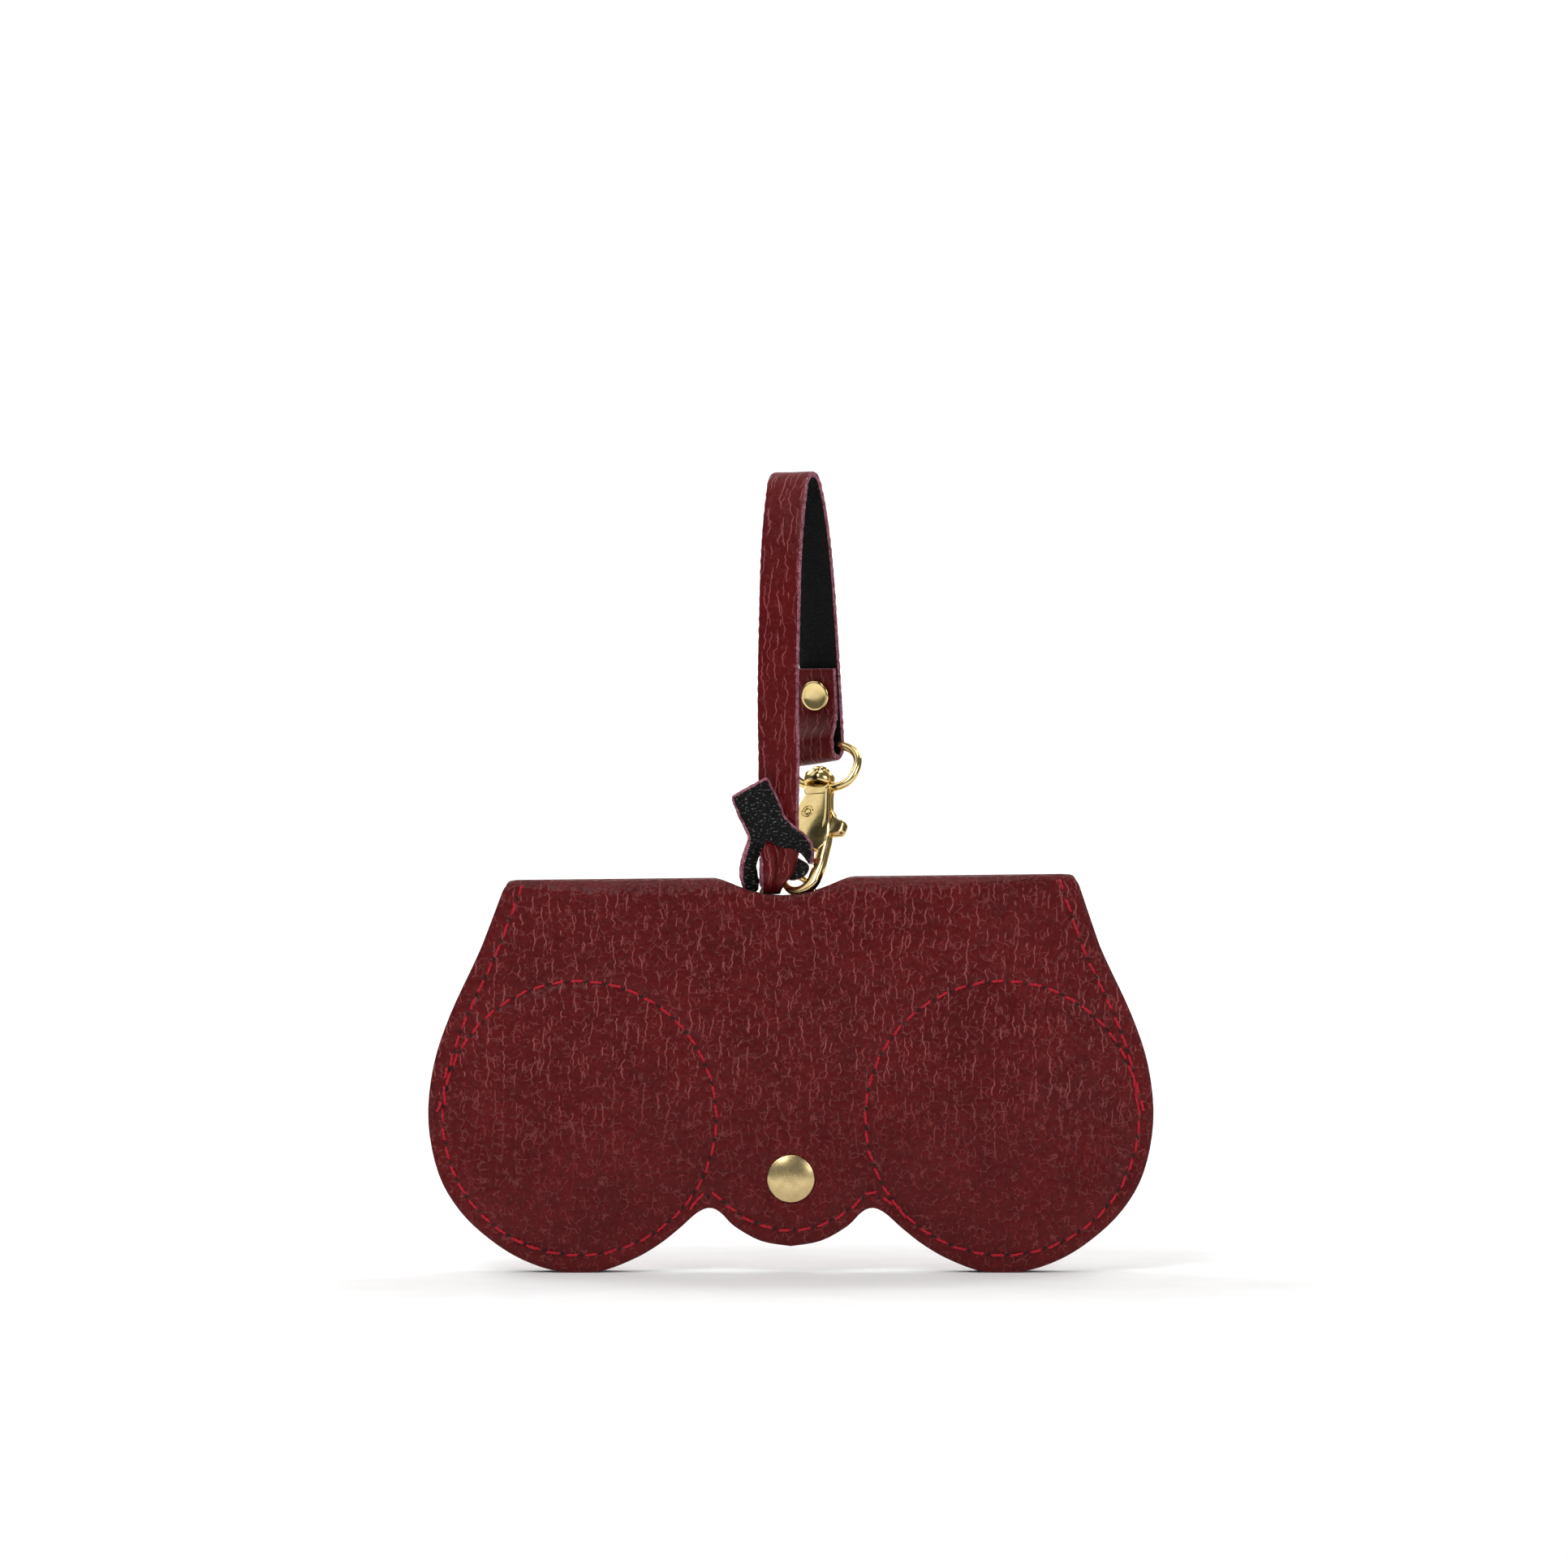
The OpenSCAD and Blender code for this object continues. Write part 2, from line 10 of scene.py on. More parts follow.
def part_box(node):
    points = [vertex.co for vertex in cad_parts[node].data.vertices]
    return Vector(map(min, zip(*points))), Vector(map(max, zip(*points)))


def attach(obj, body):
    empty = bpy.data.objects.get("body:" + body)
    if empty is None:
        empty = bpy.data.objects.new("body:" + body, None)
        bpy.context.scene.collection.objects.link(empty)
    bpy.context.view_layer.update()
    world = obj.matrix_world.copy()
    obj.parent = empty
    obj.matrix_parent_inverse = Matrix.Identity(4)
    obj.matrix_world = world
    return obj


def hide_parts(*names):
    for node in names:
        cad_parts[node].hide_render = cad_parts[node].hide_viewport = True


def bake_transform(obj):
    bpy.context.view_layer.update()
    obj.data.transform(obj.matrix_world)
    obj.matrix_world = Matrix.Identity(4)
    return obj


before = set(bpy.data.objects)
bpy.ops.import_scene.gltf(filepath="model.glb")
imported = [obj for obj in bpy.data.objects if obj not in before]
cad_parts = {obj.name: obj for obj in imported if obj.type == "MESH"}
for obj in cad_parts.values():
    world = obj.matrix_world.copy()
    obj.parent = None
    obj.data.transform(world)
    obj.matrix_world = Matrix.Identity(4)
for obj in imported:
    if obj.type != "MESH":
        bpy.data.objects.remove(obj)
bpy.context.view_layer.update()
scene = bpy.context.scene

# ---------------------------------------------------------------- the frame
# Everything is worked out in millimetres: x and y from the pocket's middle, z up from the lobes' bottoms.
MM = 0.001
MIDDLE_Y = (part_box("front_leather")[0].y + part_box("back_leather")[1].y) / 2
LOBES_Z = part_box("back_leather")[0].z
HANG_Y = -MIDDLE_Y / MM
HANG_Z = -LOBES_Z / MM
ORIGIN = np.array([0, MIDDLE_Y, LOBES_Z])


def metres(points):
    """Points from millimetres above the lobes to metres in the frame."""
    return np.asarray(points, float) * MM + ORIGIN


# ---------------------------------------------------------------- curves
def smooth_curve(points, steps):
    """The Catmull-Rom curve through the listed points that the leather was cut to."""
    p = np.array([points[0]] + list(points) + [points[-1]], float)
    out = []
    for a, b, c, d in zip(p[:-3], p[1:-2], p[2:-1], p[3:]):
        for t in np.arange(steps) / steps:
            out.append(0.5 * (2 * b + (c - a) * t + (2 * a - 5 * b + 4 * c - d) * t ** 2
                              + (3 * b - a - 3 * c + d) * t ** 3))
    return np.array(out + [p[-1]])


def bezier(p, t):
    p, t = np.asarray(p, float), np.asarray(t)[:, None]
    return (1 - t) ** 3 * p[0] + 3 * t * (1 - t) ** 2 * p[1] + 3 * t ** 2 * (1 - t) * p[2] + t ** 3 * p[3]


def arc(centre, radius, start, end, steps):
    a = np.radians(np.linspace(start, end, steps + 1))
    return np.asarray(centre) + radius * np.stack([np.cos(a), np.sin(a)], 1)


def unit(rows):
    """Each row made one long."""
    return rows / np.linalg.norm(rows, axis=1)[:, None]


def left_of(d):
    """The unit direction to the left of each flat direction."""
    return unit(np.stack([-d[:, 1], d[:, 0]], 1))


def run_along(points):
    """How far along a line each of its points is."""
    return np.concatenate([[0], np.cumsum(np.linalg.norm(np.diff(points, axis=0), axis=1))])


def resampled(points, step, closed=False):
    """The same curve with its points step apart, or as near as divides it evenly."""
    p = np.asarray(points, float)
    if closed:
        p = np.vstack([p, p[:1]])
    run = run_along(p)
    count = max(2, int(round(run[-1] / step)))
    at = np.linspace(0, run[-1], count + 1)
    out = np.stack([np.interp(at, run, p[:, k]) for k in range(p.shape[1])], 1)
    return out[:-1] if closed else out


def inset(loop, distance):
    """A closed loop, anticlockwise, moved inwards."""
    return loop + left_of(np.roll(loop, -1, 0) - np.roll(loop, 1, 0)) * distance


def beside(line, distance):
    """An open line moved to its left."""
    return line + distance * left_of(np.gradient(line, axis=0))


def mirrored(line):
    return line * [-1, 1]


def ease(t):
    t = np.clip(t, 0, 1)
    return t * t * (3 - 2 * t)


CHUNK = 4000  # points measured at a time, to bound the memory


def distance_to(points, line, closed=False):
    """Distance from each point to a polyline."""
    a = np.asarray(line, float)
    b = np.roll(a, -1, 0) if closed else a[1:]
    a = a if closed else a[:-1]
    ab = b - a
    length2 = np.maximum((ab ** 2).sum(1), 1e-12)
    out = np.empty(len(points))
    for lo in range(0, len(points), CHUNK):
        p = points[lo:lo + CHUNK, None, :]
        t = np.clip(((p - a) * ab).sum(2) / length2, 0, 1)
        out[lo:lo + CHUNK] = np.sqrt(((p - a - t[..., None] * ab) ** 2).sum(2).min(1))
    return out


def inside(points, loop):
    """Which points lie inside a closed loop."""
    x, y = points[:, 0][:, None], points[:, 1][:, None]
    x1, y1 = loop[:, 0], loop[:, 1]
    x2, y2 = np.roll(x1, -1), np.roll(y1, -1)
    out = np.zeros(len(points), bool)
    for lo in range(0, len(points), CHUNK):
        s = slice(lo, lo + CHUNK)
        cross = (y1 > y[s]) != (y2 > y[s])
        at = (x2 - x1) * (y[s] - y1) / np.where(y2 == y1, 1e-9, y2 - y1) + x1
        out[s] = (cross & (x[s] < at)).sum(1) % 2 == 1
    return out


def anticlockwise(loop):
    """The same closed loop, run round anticlockwise."""
    x, y = np.asarray(loop, float).T
    area = (x * np.roll(y, -1) - np.roll(x, -1) * y).sum()
    return np.asarray(loop, float)[::1 if area > 0 else -1]


def rounded_corners(loop, radius, steps=4):
    """A closed outline with each corner cut to a short curve."""
    p = np.asarray(loop, float)
    out = []
    for k in range(len(p)):
        a, b, c = p[k - 1], p[k], p[(k + 1) % len(p)]
        ab, cb = a - b, c - b
        r = min(radius, np.linalg.norm(ab) * 0.45, np.linalg.norm(cb) * 0.45)
        start, end = b + ab / np.linalg.norm(ab) * r, b + cb / np.linalg.norm(cb) * r
        for t in np.linspace(0, 1, steps + 1):
            out.append((1 - t) ** 2 * start + 2 * t * (1 - t) * b + t ** 2 * end)
    return np.array(out)


# ---------------------------------------------------------------- materials
def rgb(r, g, b):
    """A colour given in everyday 0-255 values, as Blender's linear one."""
    def line(c):
        c /= 255
        return c / 12.92 if c <= 0.04045 else ((c + 0.055) / 1.055) ** 2.4
    return (line(r), line(g), line(b), 1)


class Nodes:
    """A material's node tree, with one short call for each node."""

    def __init__(self, name, **sockets):
        self.material = bpy.data.materials.new(name)
        self.material.use_nodes = True
        self.tree = self.material.node_tree
        self.shader = self.tree.nodes["Principled BSDF"]
        for key, value in sockets.items():
            self.shader.inputs[key.replace("_", " ")].default_value = value

    def add(self, kind, inputs=(), **settings):
        node = self.tree.nodes.new("ShaderNode" + kind)
        for key, value in settings.items():
            setattr(node, key, value)
        for key, value in dict(inputs).items():
            self.put(value, node.inputs[key])
        return node

    def put(self, value, socket):
        if isinstance(value, bpy.types.NodeSocket):
            self.tree.links.new(value, socket)
        else:
            socket.default_value = value

    def shade(self, key, value):
        self.put(value, self.shader.inputs[key])

    def mapped(self, vector, scale, shift=(0, 0, 0)):
        return self.add("Mapping", {"Vector": vector, "Location": shift, "Scale": scale}).outputs[0]

    def grain_map(self):
        """Millimetres across and along the leather."""
        return self.mapped(self.add("UVMap", uv_map="grain").outputs["UV"], (1, 1, 1))

    def object_map(self, scale=(1000, 1000, 1000)):
        """The place in the piece's own frame, in millimetres unless scale says otherwise."""
        return self.mapped(self.add("TexCoord").outputs["Object"], scale)

    def noise(self, vector, scale, detail=3, rough=0.55):
        return self.add("TexNoise", {"Vector": vector, "Scale": scale, "Detail": detail,
                                     "Roughness": rough}).outputs["Fac"]

    def warp(self, vector, scale, amount):
        """The same place, pushed about by a noise."""
        wobble = self.add("TexNoise", {"Vector": vector, "Scale": scale, "Detail": 2}).outputs["Color"]
        centred = self.add("VectorMath", {0: wobble, 1: (0.5, 0.5, 0.5)}, operation="SUBTRACT").outputs[0]
        pushed = self.add("VectorMath", {0: centred, "Scale": amount}, operation="SCALE").outputs[0]
        return self.add("VectorMath", {0: vector, 1: pushed}, operation="ADD").outputs[0]

    def creases(self, vector, scale, width):
        """1 along the edges of a cell pattern, falling to 0 at width."""
        cells = self.add("TexVoronoi", {"Vector": vector, "Scale": scale}, feature="DISTANCE_TO_EDGE")
        return self.ramp(cells.outputs["Distance"], 0, width, 1, 0)

    def ramp(self, value, a, b, c, d):
        return self.add("MapRange", {"Value": value, "From Min": a, "From Max": b, "To Min": c, "To Max": d},
                        interpolation_type="SMOOTHSTEP").outputs[0]

    def math(self, operation, a, b):
        return self.add("Math", {0: a, 1: b}, operation=operation).outputs[0]

    def plus(self, a, b):
        return self.math("ADD", a, b)

    def minus(self, a, b):
        return self.math("SUBTRACT", a, b)

    def times(self, a, b):
        return self.math("MULTIPLY", a, b)

    def mix(self, factor, a, b):
        """Colour a, going over to colour b."""
        node = self.add("Mix", data_type="RGBA")
        self.put(factor, node.inputs[0])
        self.put(a, node.inputs[6])
        self.put(b, node.inputs[7])
        return node.outputs[2]

    def bump(self, height, distance, strength=1.0, under=None):
        inputs = {"Height": height, "Distance": distance, "Strength": strength}
        if under is not None:
            inputs["Normal"] = under
        node = self.add("Bump", inputs)
        self.tree.links.new(node.outputs[0], self.shader.inputs["Normal"])
        return node.outputs[0]


def wavering_lines(m, flat, across, offset, spacing, seen):
    """Thin lines up and down the leather that waver, part and meet, with seen of them showing."""
    moved = m.mapped(flat, (0.22, 0.5, 1), (offset, offset * 2, 0))
    wide = m.times(m.minus(m.noise(moved, 0.15, 1), 0.5), 5)
    narrow = m.times(m.minus(m.noise(moved, 0.75, 2), 0.5), 2.6)
    where = m.plus(across, m.plus(wide, narrow))
    cells = m.add("TexVoronoi", {"W": m.plus(where, offset), "Scale": 1 / spacing},
                  feature="DISTANCE_TO_EDGE", voronoi_dimensions="1D")
    line = m.ramp(cells.outputs["Distance"], 0.02 / spacing, 0.21 / spacing, 1, 0)
    pieces = m.noise(m.mapped(flat, (0.5, 0.2, 1), (offset, 0, 0)), 1, 2, 0.6)
    return m.times(line, m.ramp(pieces, 0.56 - seen, 0.61 - seen, 0, 1))


def leather_material(name, middle, fine_below, pitch, creased, pebbly):
    """Burgundy grained leather: thin broken creases run up and down it, over round pebbles.

    middle is the height of the fold's middle, fine_below where the pebbles take over, pitch the creases'
    distance apart, creased and pebbly how much of each kind of grain shows.
    """
    m = Nodes(name, Specular_IOR_Level=0.16)
    flat = m.grain_map()
    parts = m.add("SeparateXYZ", {0: flat})
    across = parts.outputs["X"]
    from_fold = m.math("ABSOLUTE", m.minus(parts.outputs["Y"], middle), 0)
    height = m.minus(middle, from_fold)

    round_map = m.mapped(m.warp(flat, 0.6, 0.7), (0.62, 0.6, 1))
    pebbles = m.creases(round_map, 1, 0.1)
    swelling = m.add("TexVoronoi", {"Vector": round_map, "Scale": 1, "Smoothness": 0.3},
                     feature="SMOOTH_F1").outputs[0]
    edge = m.plus(height, m.times(m.noise(flat, 0.05, 2), 34))
    above = m.ramp(edge, fine_below + 2, fine_below + 36, 0.1, 1)
    creases = m.math("MAXIMUM", wavering_lines(m, flat, across, 0, pitch, creased),
                     m.times(wavering_lines(m, flat, across, 37, pitch * 1.4, creased - 0.03), 0.8))
    shown = m.ramp(m.noise(flat, 0.45, 2, 0.6), 0.48, 0.56, 0.04, 0.36)
    branches = m.times(m.times(pebbles, shown), pebbly)
    lines = m.math("MAXIMUM", m.times(creases, above), branches)
    lines = m.times(lines, m.ramp(height, middle - 7, middle - 2, 1, 0.3))

    mottle = m.noise(flat, 1.1, 3, 0.6)
    base = m.mix(m.ramp(m.noise(flat, 0.06, 4), 0.3, 0.7, 0, 1), rgb(80, 8, 11), rgb(94, 13, 16))
    base = m.mix(m.ramp(mottle, 0.45, 0.8, 0, 0.2), base, rgb(112, 26, 30))
    # painted shade: a darker red laid into the hollows between the pebbles, where the bump sinks
    base = m.mix(m.ramp(swelling, 0.3, 0.75, 0, 0.4 * pebbly), base, rgb(62, 5, 8))
    base = m.mix(m.times(lines, 0.72), base, rgb(172, 92, 92))
    m.shade("Base Color", base)
    m.shade("Roughness", m.ramp(m.plus(mottle, m.times(lines, 0.4)), 0.3, 0.9, 0.32, 0.5))
    under = m.bump(m.noise(flat, 3, 2, 0.6), 0.00003, 0.5)
    rounds = m.minus(m.times(swelling, -pebbly), m.times(lines, 0.4))
    m.bump(rounds, 0.00022, 1.0, under)
    return m.material


def flesh_material(name, colour, light, scale, specked):
    """The leather's black underside: matt, with pale specks painted on its raised grain as highlight where
    light catches it.
    """
    m = Nodes(name, Specular_IOR_Level=0.14)
    long = m.mapped(m.warp(m.grain_map(), 0.6, 0.8), (0.8, 1.5, 1))
    specks = m.noise(long, scale, 2, 0.6)
    grain = m.creases(long, scale * 0.6, 0.22)
    # painted highlight: pale specks on the raised grain stand in for caught light
    m.shade("Base Color", m.mix(m.ramp(specks, 0.58, 0.66, 0, specked), colour, light))
    m.shade("Roughness", m.ramp(specks, 0.3, 0.8, 0.42, 0.7))
    m.bump(m.minus(specks, m.times(grain, 0.6)), 0.00025, 0.9)
    return m.material


def cut_material(name, colour, dark, light):
    """A raw cut edge: fibres along the cut, paler where the fibres are loose."""
    m = Nodes(name, Specular_IOR_Level=0.1, Sheen_Weight=0.08, Sheen_Roughness=0.5)
    place = m.object_map()
    fuzz = m.noise(place, 2.6, 4, 0.7)
    layers = m.noise(m.object_map(), 0.9, 3)
    base = m.mix(m.ramp(layers, 0.35, 0.65, 0, 1), dark, colour)
    m.shade("Base Color", m.mix(m.ramp(fuzz, 0.5, 0.72, 0, 0.9), base, light))
    m.shade("Roughness", m.ramp(fuzz, 0.3, 0.8, 0.75, 0.95))
    m.bump(fuzz, 0.0003, 0.9)
    return m.material


def thread_material(name, colour, dark):
    """Waxed thread, with painted shade between its fibres."""
    m = Nodes(name, Specular_IOR_Level=0.25, Sheen_Weight=0.06, Sheen_Roughness=0.35)
    place = m.object_map()
    fibres = m.noise(place, 7, 3, 0.7)
    # painted shade: the dark colour sits in the low places between the fibres
    m.shade("Base Color", m.mix(m.ramp(fibres, 0.35, 0.7, 0, 1), dark, colour))
    m.shade("Roughness", m.ramp(fibres, 0.3, 0.8, 0.5, 0.7))
    m.bump(fibres, 0.00008, 0.7)
    return m.material


METAL_TINT = (0.5, 0.36, 0.16, 1)


def metal_material(name, colour, worn, roughness, brushed):
    """Plated metal with fine scratches and slightly duller patches."""
    m = Nodes(name, Metallic=1.0, Specular_IOR_Level=0.5, Specular_Tint=METAL_TINT)
    place = m.object_map()
    scratches = m.noise(m.object_map((1500, 9000, 3000)), 1.4, 3, 0.7)
    patches = m.noise(place, 0.35, 3)
    m.shade("Base Color", m.mix(m.ramp(patches, 0.4, 0.75, 0, 0.6), colour, worn))
    m.shade("Roughness", m.ramp(m.plus(scratches, patches), 0.7, 1.3, roughness, roughness + brushed))
    m.bump(scratches, 0.000002, 0.15)
    return m.material


POUCH_TOP = 94.9
LEATHER = leather_material("burgundy_leather", POUCH_TOP, 34, 2.4, 0.06, 1.0)
STRAP_LEATHER = leather_material("strap_leather", 400, -60, 2.7, 0.12, 0.4)
FLESH = flesh_material("black_flesh", rgb(9, 9, 10), rgb(112, 116, 112), 1.5, 0.7)
INNER = flesh_material("strap_inside", rgb(8, 8, 9), rgb(60, 62, 60), 2.4, 0.4)
LINING = flesh_material("black_lining", rgb(15, 15, 17), rgb(34, 35, 38), 2.2, 0.6)
CUT = cut_material("cut_edge", rgb(158, 92, 108), rgb(104, 38, 54), rgb(222, 178, 188))
POUCH_CUT = cut_material("pouch_cut_edge", rgb(92, 24, 32), rgb(60, 10, 16), rgb(150, 84, 94))
RED_THREAD = thread_material("red_thread", rgb(212, 32, 56), rgb(150, 12, 30))
BLACK_THREAD = thread_material("black_thread", rgb(24, 18, 20), rgb(10, 8, 9))
BRASS = metal_material("clasp_brass", rgb(236, 211, 150), rgb(222, 190, 120), 0.1, 0.12)
SATIN = metal_material("snap_brass", rgb(222, 198, 146), rgb(200, 172, 118), 0.22, 0.1)
STEEL = metal_material("spring_steel", rgb(190, 190, 192), rgb(150, 150, 155), 0.25, 0.1)


# ---------------------------------------------------------------- meshes
def piece_from(name, points, faces, materials, slots=None, grain=None):
    """A smooth mesh piece from points in millimetres; grain is each point's place on the flat leather."""
    mesh = bpy.data.meshes.new(name)
    mesh.from_pydata(metres(points).tolist(), [], [list(map(int, f)) for f in faces])
    for material in materials:
        mesh.materials.append(material)
    if slots is not None:
        mesh.polygons.foreach_set("material_index", np.asarray(slots, np.int32))
    mesh.polygons.foreach_set("use_smooth", np.ones(len(mesh.polygons), bool))
    if grain is not None:
        layer = mesh.uv_layers.new(name="grain")
        index = np.empty(len(mesh.loops), np.int32)
        mesh.loops.foreach_get("vertex_index", index)
        layer.data.foreach_set("uv", np.asarray(grain, np.float32)[index].ravel())
    mesh.validate()
    piece = bpy.data.objects.new(name, mesh)
    scene.collection.objects.link(piece)
    return piece


def make_outward(piece):
    """Turns every face of a closed piece outwards."""
    bm = bmesh.new()
    bm.from_mesh(piece.data)
    bmesh.ops.recalc_face_normals(bm, faces=bm.faces)
    bm.to_mesh(piece.data)
    bm.free()
    return piece


def grid_faces(rows, columns, closed):
    """Quads between rows of points, each row closed into a ring or not."""
    i, j = np.meshgrid(np.arange(rows - 1), np.arange(columns if closed else columns - 1), indexing="ij")
    k = (j + 1) % columns
    this, after = i * columns, (i + 1) * columns
    return np.stack([this + j, this + k, after + k, after + j], -1).reshape(-1, 4)


def tubes(threads, radius, sides=6):
    """One mesh of round threads: each is a path and its normals, and its ends are closed to a point."""
    points, faces = [], []
    turn = np.linspace(0, 2 * np.pi, sides, endpoint=False)
    base = 0
    for path, normal in threads:
        tangent = unit(np.gradient(path, axis=0))
        side = unit(np.cross(tangent, normal))
        up = np.cross(side, tangent)
        ring = np.cos(turn)[None, :, None] * side[:, None] + np.sin(turn)[None, :, None] * up[:, None]
        taper = np.ones(len(path))
        taper[[0, -1]] = 0.45
        rings = path[:, None] + ring * radius * taper[:, None, None]
        points += [rings.reshape(-1, 3), path[:1] - tangent[:1] * radius * 0.4,
                   path[-1:] + tangent[-1:] * radius * 0.4]
        n = len(path) * sides
        faces += (grid_faces(len(path), sides, True)[:, ::-1] + base).tolist()
        for j in range(sides):
            k = (j + 1) % sides
            faces.append([base + n, base + j, base + k])
            faces.append([base + n + 1, base + n - sides + k, base + n - sides + j])
        base += n + 2
    return np.vstack(points), faces


def lathe(profile, steps=72):
    """A turned solid: the profile runs from the axis to the axis as (radius, height); the mesh is along z."""
    profile = np.asarray(profile, float)
    turn = np.linspace(0, 2 * np.pi, steps, endpoint=False)
    body = profile[1:-1]
    rings = np.stack([body[:, :1] * np.cos(turn), body[:, :1] * np.sin(turn),
                      np.repeat(body[:, 1:], steps, 1)], -1)
    points = np.vstack([rings.reshape(-1, 3), [[0, 0, profile[0, 1]], [0, 0, profile[-1, 1]]]])
    faces = grid_faces(len(body), steps, True).tolist()
    first, last = len(points) - 2, len(points) - 1
    base = (len(body) - 1) * steps
    for j in range(steps):
        k = (j + 1) % steps
        faces.append([first, k, j])
        faces.append([last, base + j, base + k])
    return points, faces


def turned_to(points, origin, x_axis, z_axis):
    """Points moved into a frame whose z runs along z_axis and whose x is as near x_axis as may be."""
    z = np.asarray(z_axis, float) / np.linalg.norm(z_axis)
    x = np.asarray(x_axis, float) - np.dot(x_axis, z) * z
    x /= np.linalg.norm(x)
    return np.asarray(origin) + points @ np.stack([x, np.cross(z, x), z])


# ---------------------------------------------------------------- the pouch's outline, as the CAD has it
POUCH_H = 92.3
LEATHER_T = 1.4
OUT_Y = 4.5
FOLD_Z = POUCH_H - OUT_Y
MOUTH_Z = 38.5
NOSE_HALF = [[0, 6.1], [7, 7.3], [13.2, 10.7], [16.2, 13.7], [18.8, 15], [21.8, 13.9]]
LOBE = [[26, 10.2], [31, 6.3], [37, 2.9], [45, 0.1], [54, 0.1], [62.9, 3], [70.6, 7.9], [77.4, 14.4],
        [82.4, 23]]
FLARE = [[84.8, 35], [83.6, 48], [79.7, 60], [73.2, 74], [67.6, 87]]
SHOULDER = [[66.7, 89.4], [66.3, 91.3], [65.5, 92.0], [63.8, POUCH_H]]
HALF_OUTLINE = smooth_curve(NOSE_HALF + LOBE + FLARE + SHOULDER, 4)
NOTCH_X, NOTCH_W, NOTCH_DEPTH = -1.7, 33, 4.3
LENS_X, LENS_Z, LENS_R = 49.4, 36, 32
SIDE_INSET = 3.8
SNAP_Z = 21.9
TAB_RIVET_X, TAB_RIVET_Z = -0.6, 76
SLOPE_FROM = 76  # above this height the fold's own slope comes in
NOSE_LINE = smooth_curve([[-23, 16], [-18.9, 18.6], [-14, 15], [-8.5, 11.6], [0, 9.8], [8.5, 11.6], [14, 15],
                          [18.9, 18.6], [24.5, 15.2]], 6)
SIDE_EDGE = HALF_OUTLINE[(HALF_OUTLINE[:, 0] > 60) & (HALF_OUTLINE[:, 1] > MOUTH_Z - 2)
                         & (HALF_OUTLINE[:, 1] < POUCH_H - 1)]


SIDE_LINE = beside(SIDE_EDGE, SIDE_INSET)
LENS_LINE = arc([LENS_X, LENS_Z], LENS_R, 0, 360, 120)
FRONT_LINES = [SIDE_LINE, mirrored(SIDE_LINE), LENS_LINE, mirrored(LENS_LINE), NOSE_LINE]
BACK_LINES = [SIDE_LINE, mirrored(SIDE_LINE)]

# The leather is one sheet folded over the top.
# Its own height runs up the front, over the fold, whose middle is at MID_W, and down the back.
MID_W = FOLD_Z + OUT_Y * math.pi / 2


def over_fold(line):
    """The same line on the other side of the folded sheet."""
    return line * [1, -1] + [0, 2 * MID_W]


def to_sheet(z):
    """Height on the finished front to height along the sheet."""
    over = np.clip((z - FOLD_Z) / OUT_Y, 0, 1)
    return np.where(z > FOLD_Z, FOLD_Z + OUT_Y * np.arcsin(over), z)


def sheet_loop():
    """The whole unfolded sheet's outline."""
    half = HALF_OUTLINE.copy()
    half[:, 1] = to_sheet(half[:, 1])
    back = over_fold(half[::-1])
    right = np.vstack([half, back[1:]])
    left = mirrored(right)[::-1]
    return resampled(np.vstack([right[:-1], left[:-1]]), 1.0, closed=True)


def notch_loop():
    """The eye-shaped hole over the fold; its tips run out softly, so it looks rounded from the front."""
    t = np.linspace(-0.995, 0.995, 41)
    low = to_sheet(np.array(POUCH_H - NOTCH_DEPTH))
    front = np.stack([NOTCH_X + t * NOTCH_W / 2, MID_W - (MID_W - low) * (1 - t ** 2) ** 0.85], 1)
    back = over_fold(front[::-1])
    return resampled(np.vstack([front[:-1], back[:-1]]), 0.8, closed=True)


SHEET_LOOP = sheet_loop()
NOTCH_LOOP = notch_loop()

# The sheet is built in two leaves that meet below the fold on the back.
LEAVES_MEET = MID_W + 14


def leaf_loop(loop, back):
    """The part of a closed outline on one side of the line where the leaves meet, closed along that line."""
    side = (loop[:, 1] > LEAVES_MEET) == back
    start = int(np.flatnonzero(side & ~np.roll(side, 1))[0])
    turned = np.roll(loop, -start, 0)
    run = turned[np.roll(side, -start)]
    before, after = turned[-1], turned[len(run)]

    def crossing(a, b):
        return a + (b - a) * (LEAVES_MEET - a[1]) / (b[1] - a[1])

    first, last = crossing(before, run[0]), crossing(run[-1], after)
    run = run[np.abs(run[:, 1] - LEAVES_MEET) > 0.3]
    across = np.linspace(last, first, 2 * round(abs(last[0] - first[0]) / 2.4) + 1)
    return np.vstack([run, across])


def ripple(x, v):
    """Slow swells of soft leather, in millimetres."""
    return (0.16 * np.sin(0.11 * x + 0.06 * v + 1.3) + 0.13 * np.sin(-0.083 * x + 0.12 * v + 0.4)
            + 0.08 * np.sin(0.27 * x - 0.05 * v + 2.1) + 0.05 * np.sin(0.19 * x + 0.31 * v)
            + 0.04 * np.sin(0.52 * x + 0.08 * v + 0.7))


def fold_radius(x):
    """The fold's radius, tighter towards the pouch's sides."""
    return 2.2 + 2.3 * ease((64.5 - np.abs(x)) / 24)


# Half the pouch's thickness at its seams, how much it fills out away from them, and how far from them
SEAM_HALF, FILLED, FILL_RUN = 2.15, 2.45, 26
CAP_REACH, RIVET_REACH = 10, 7  # how far round a cap the leather is drawn to it
BLEND_FROM = 72  # the leather goes over to the fold's radius above this height


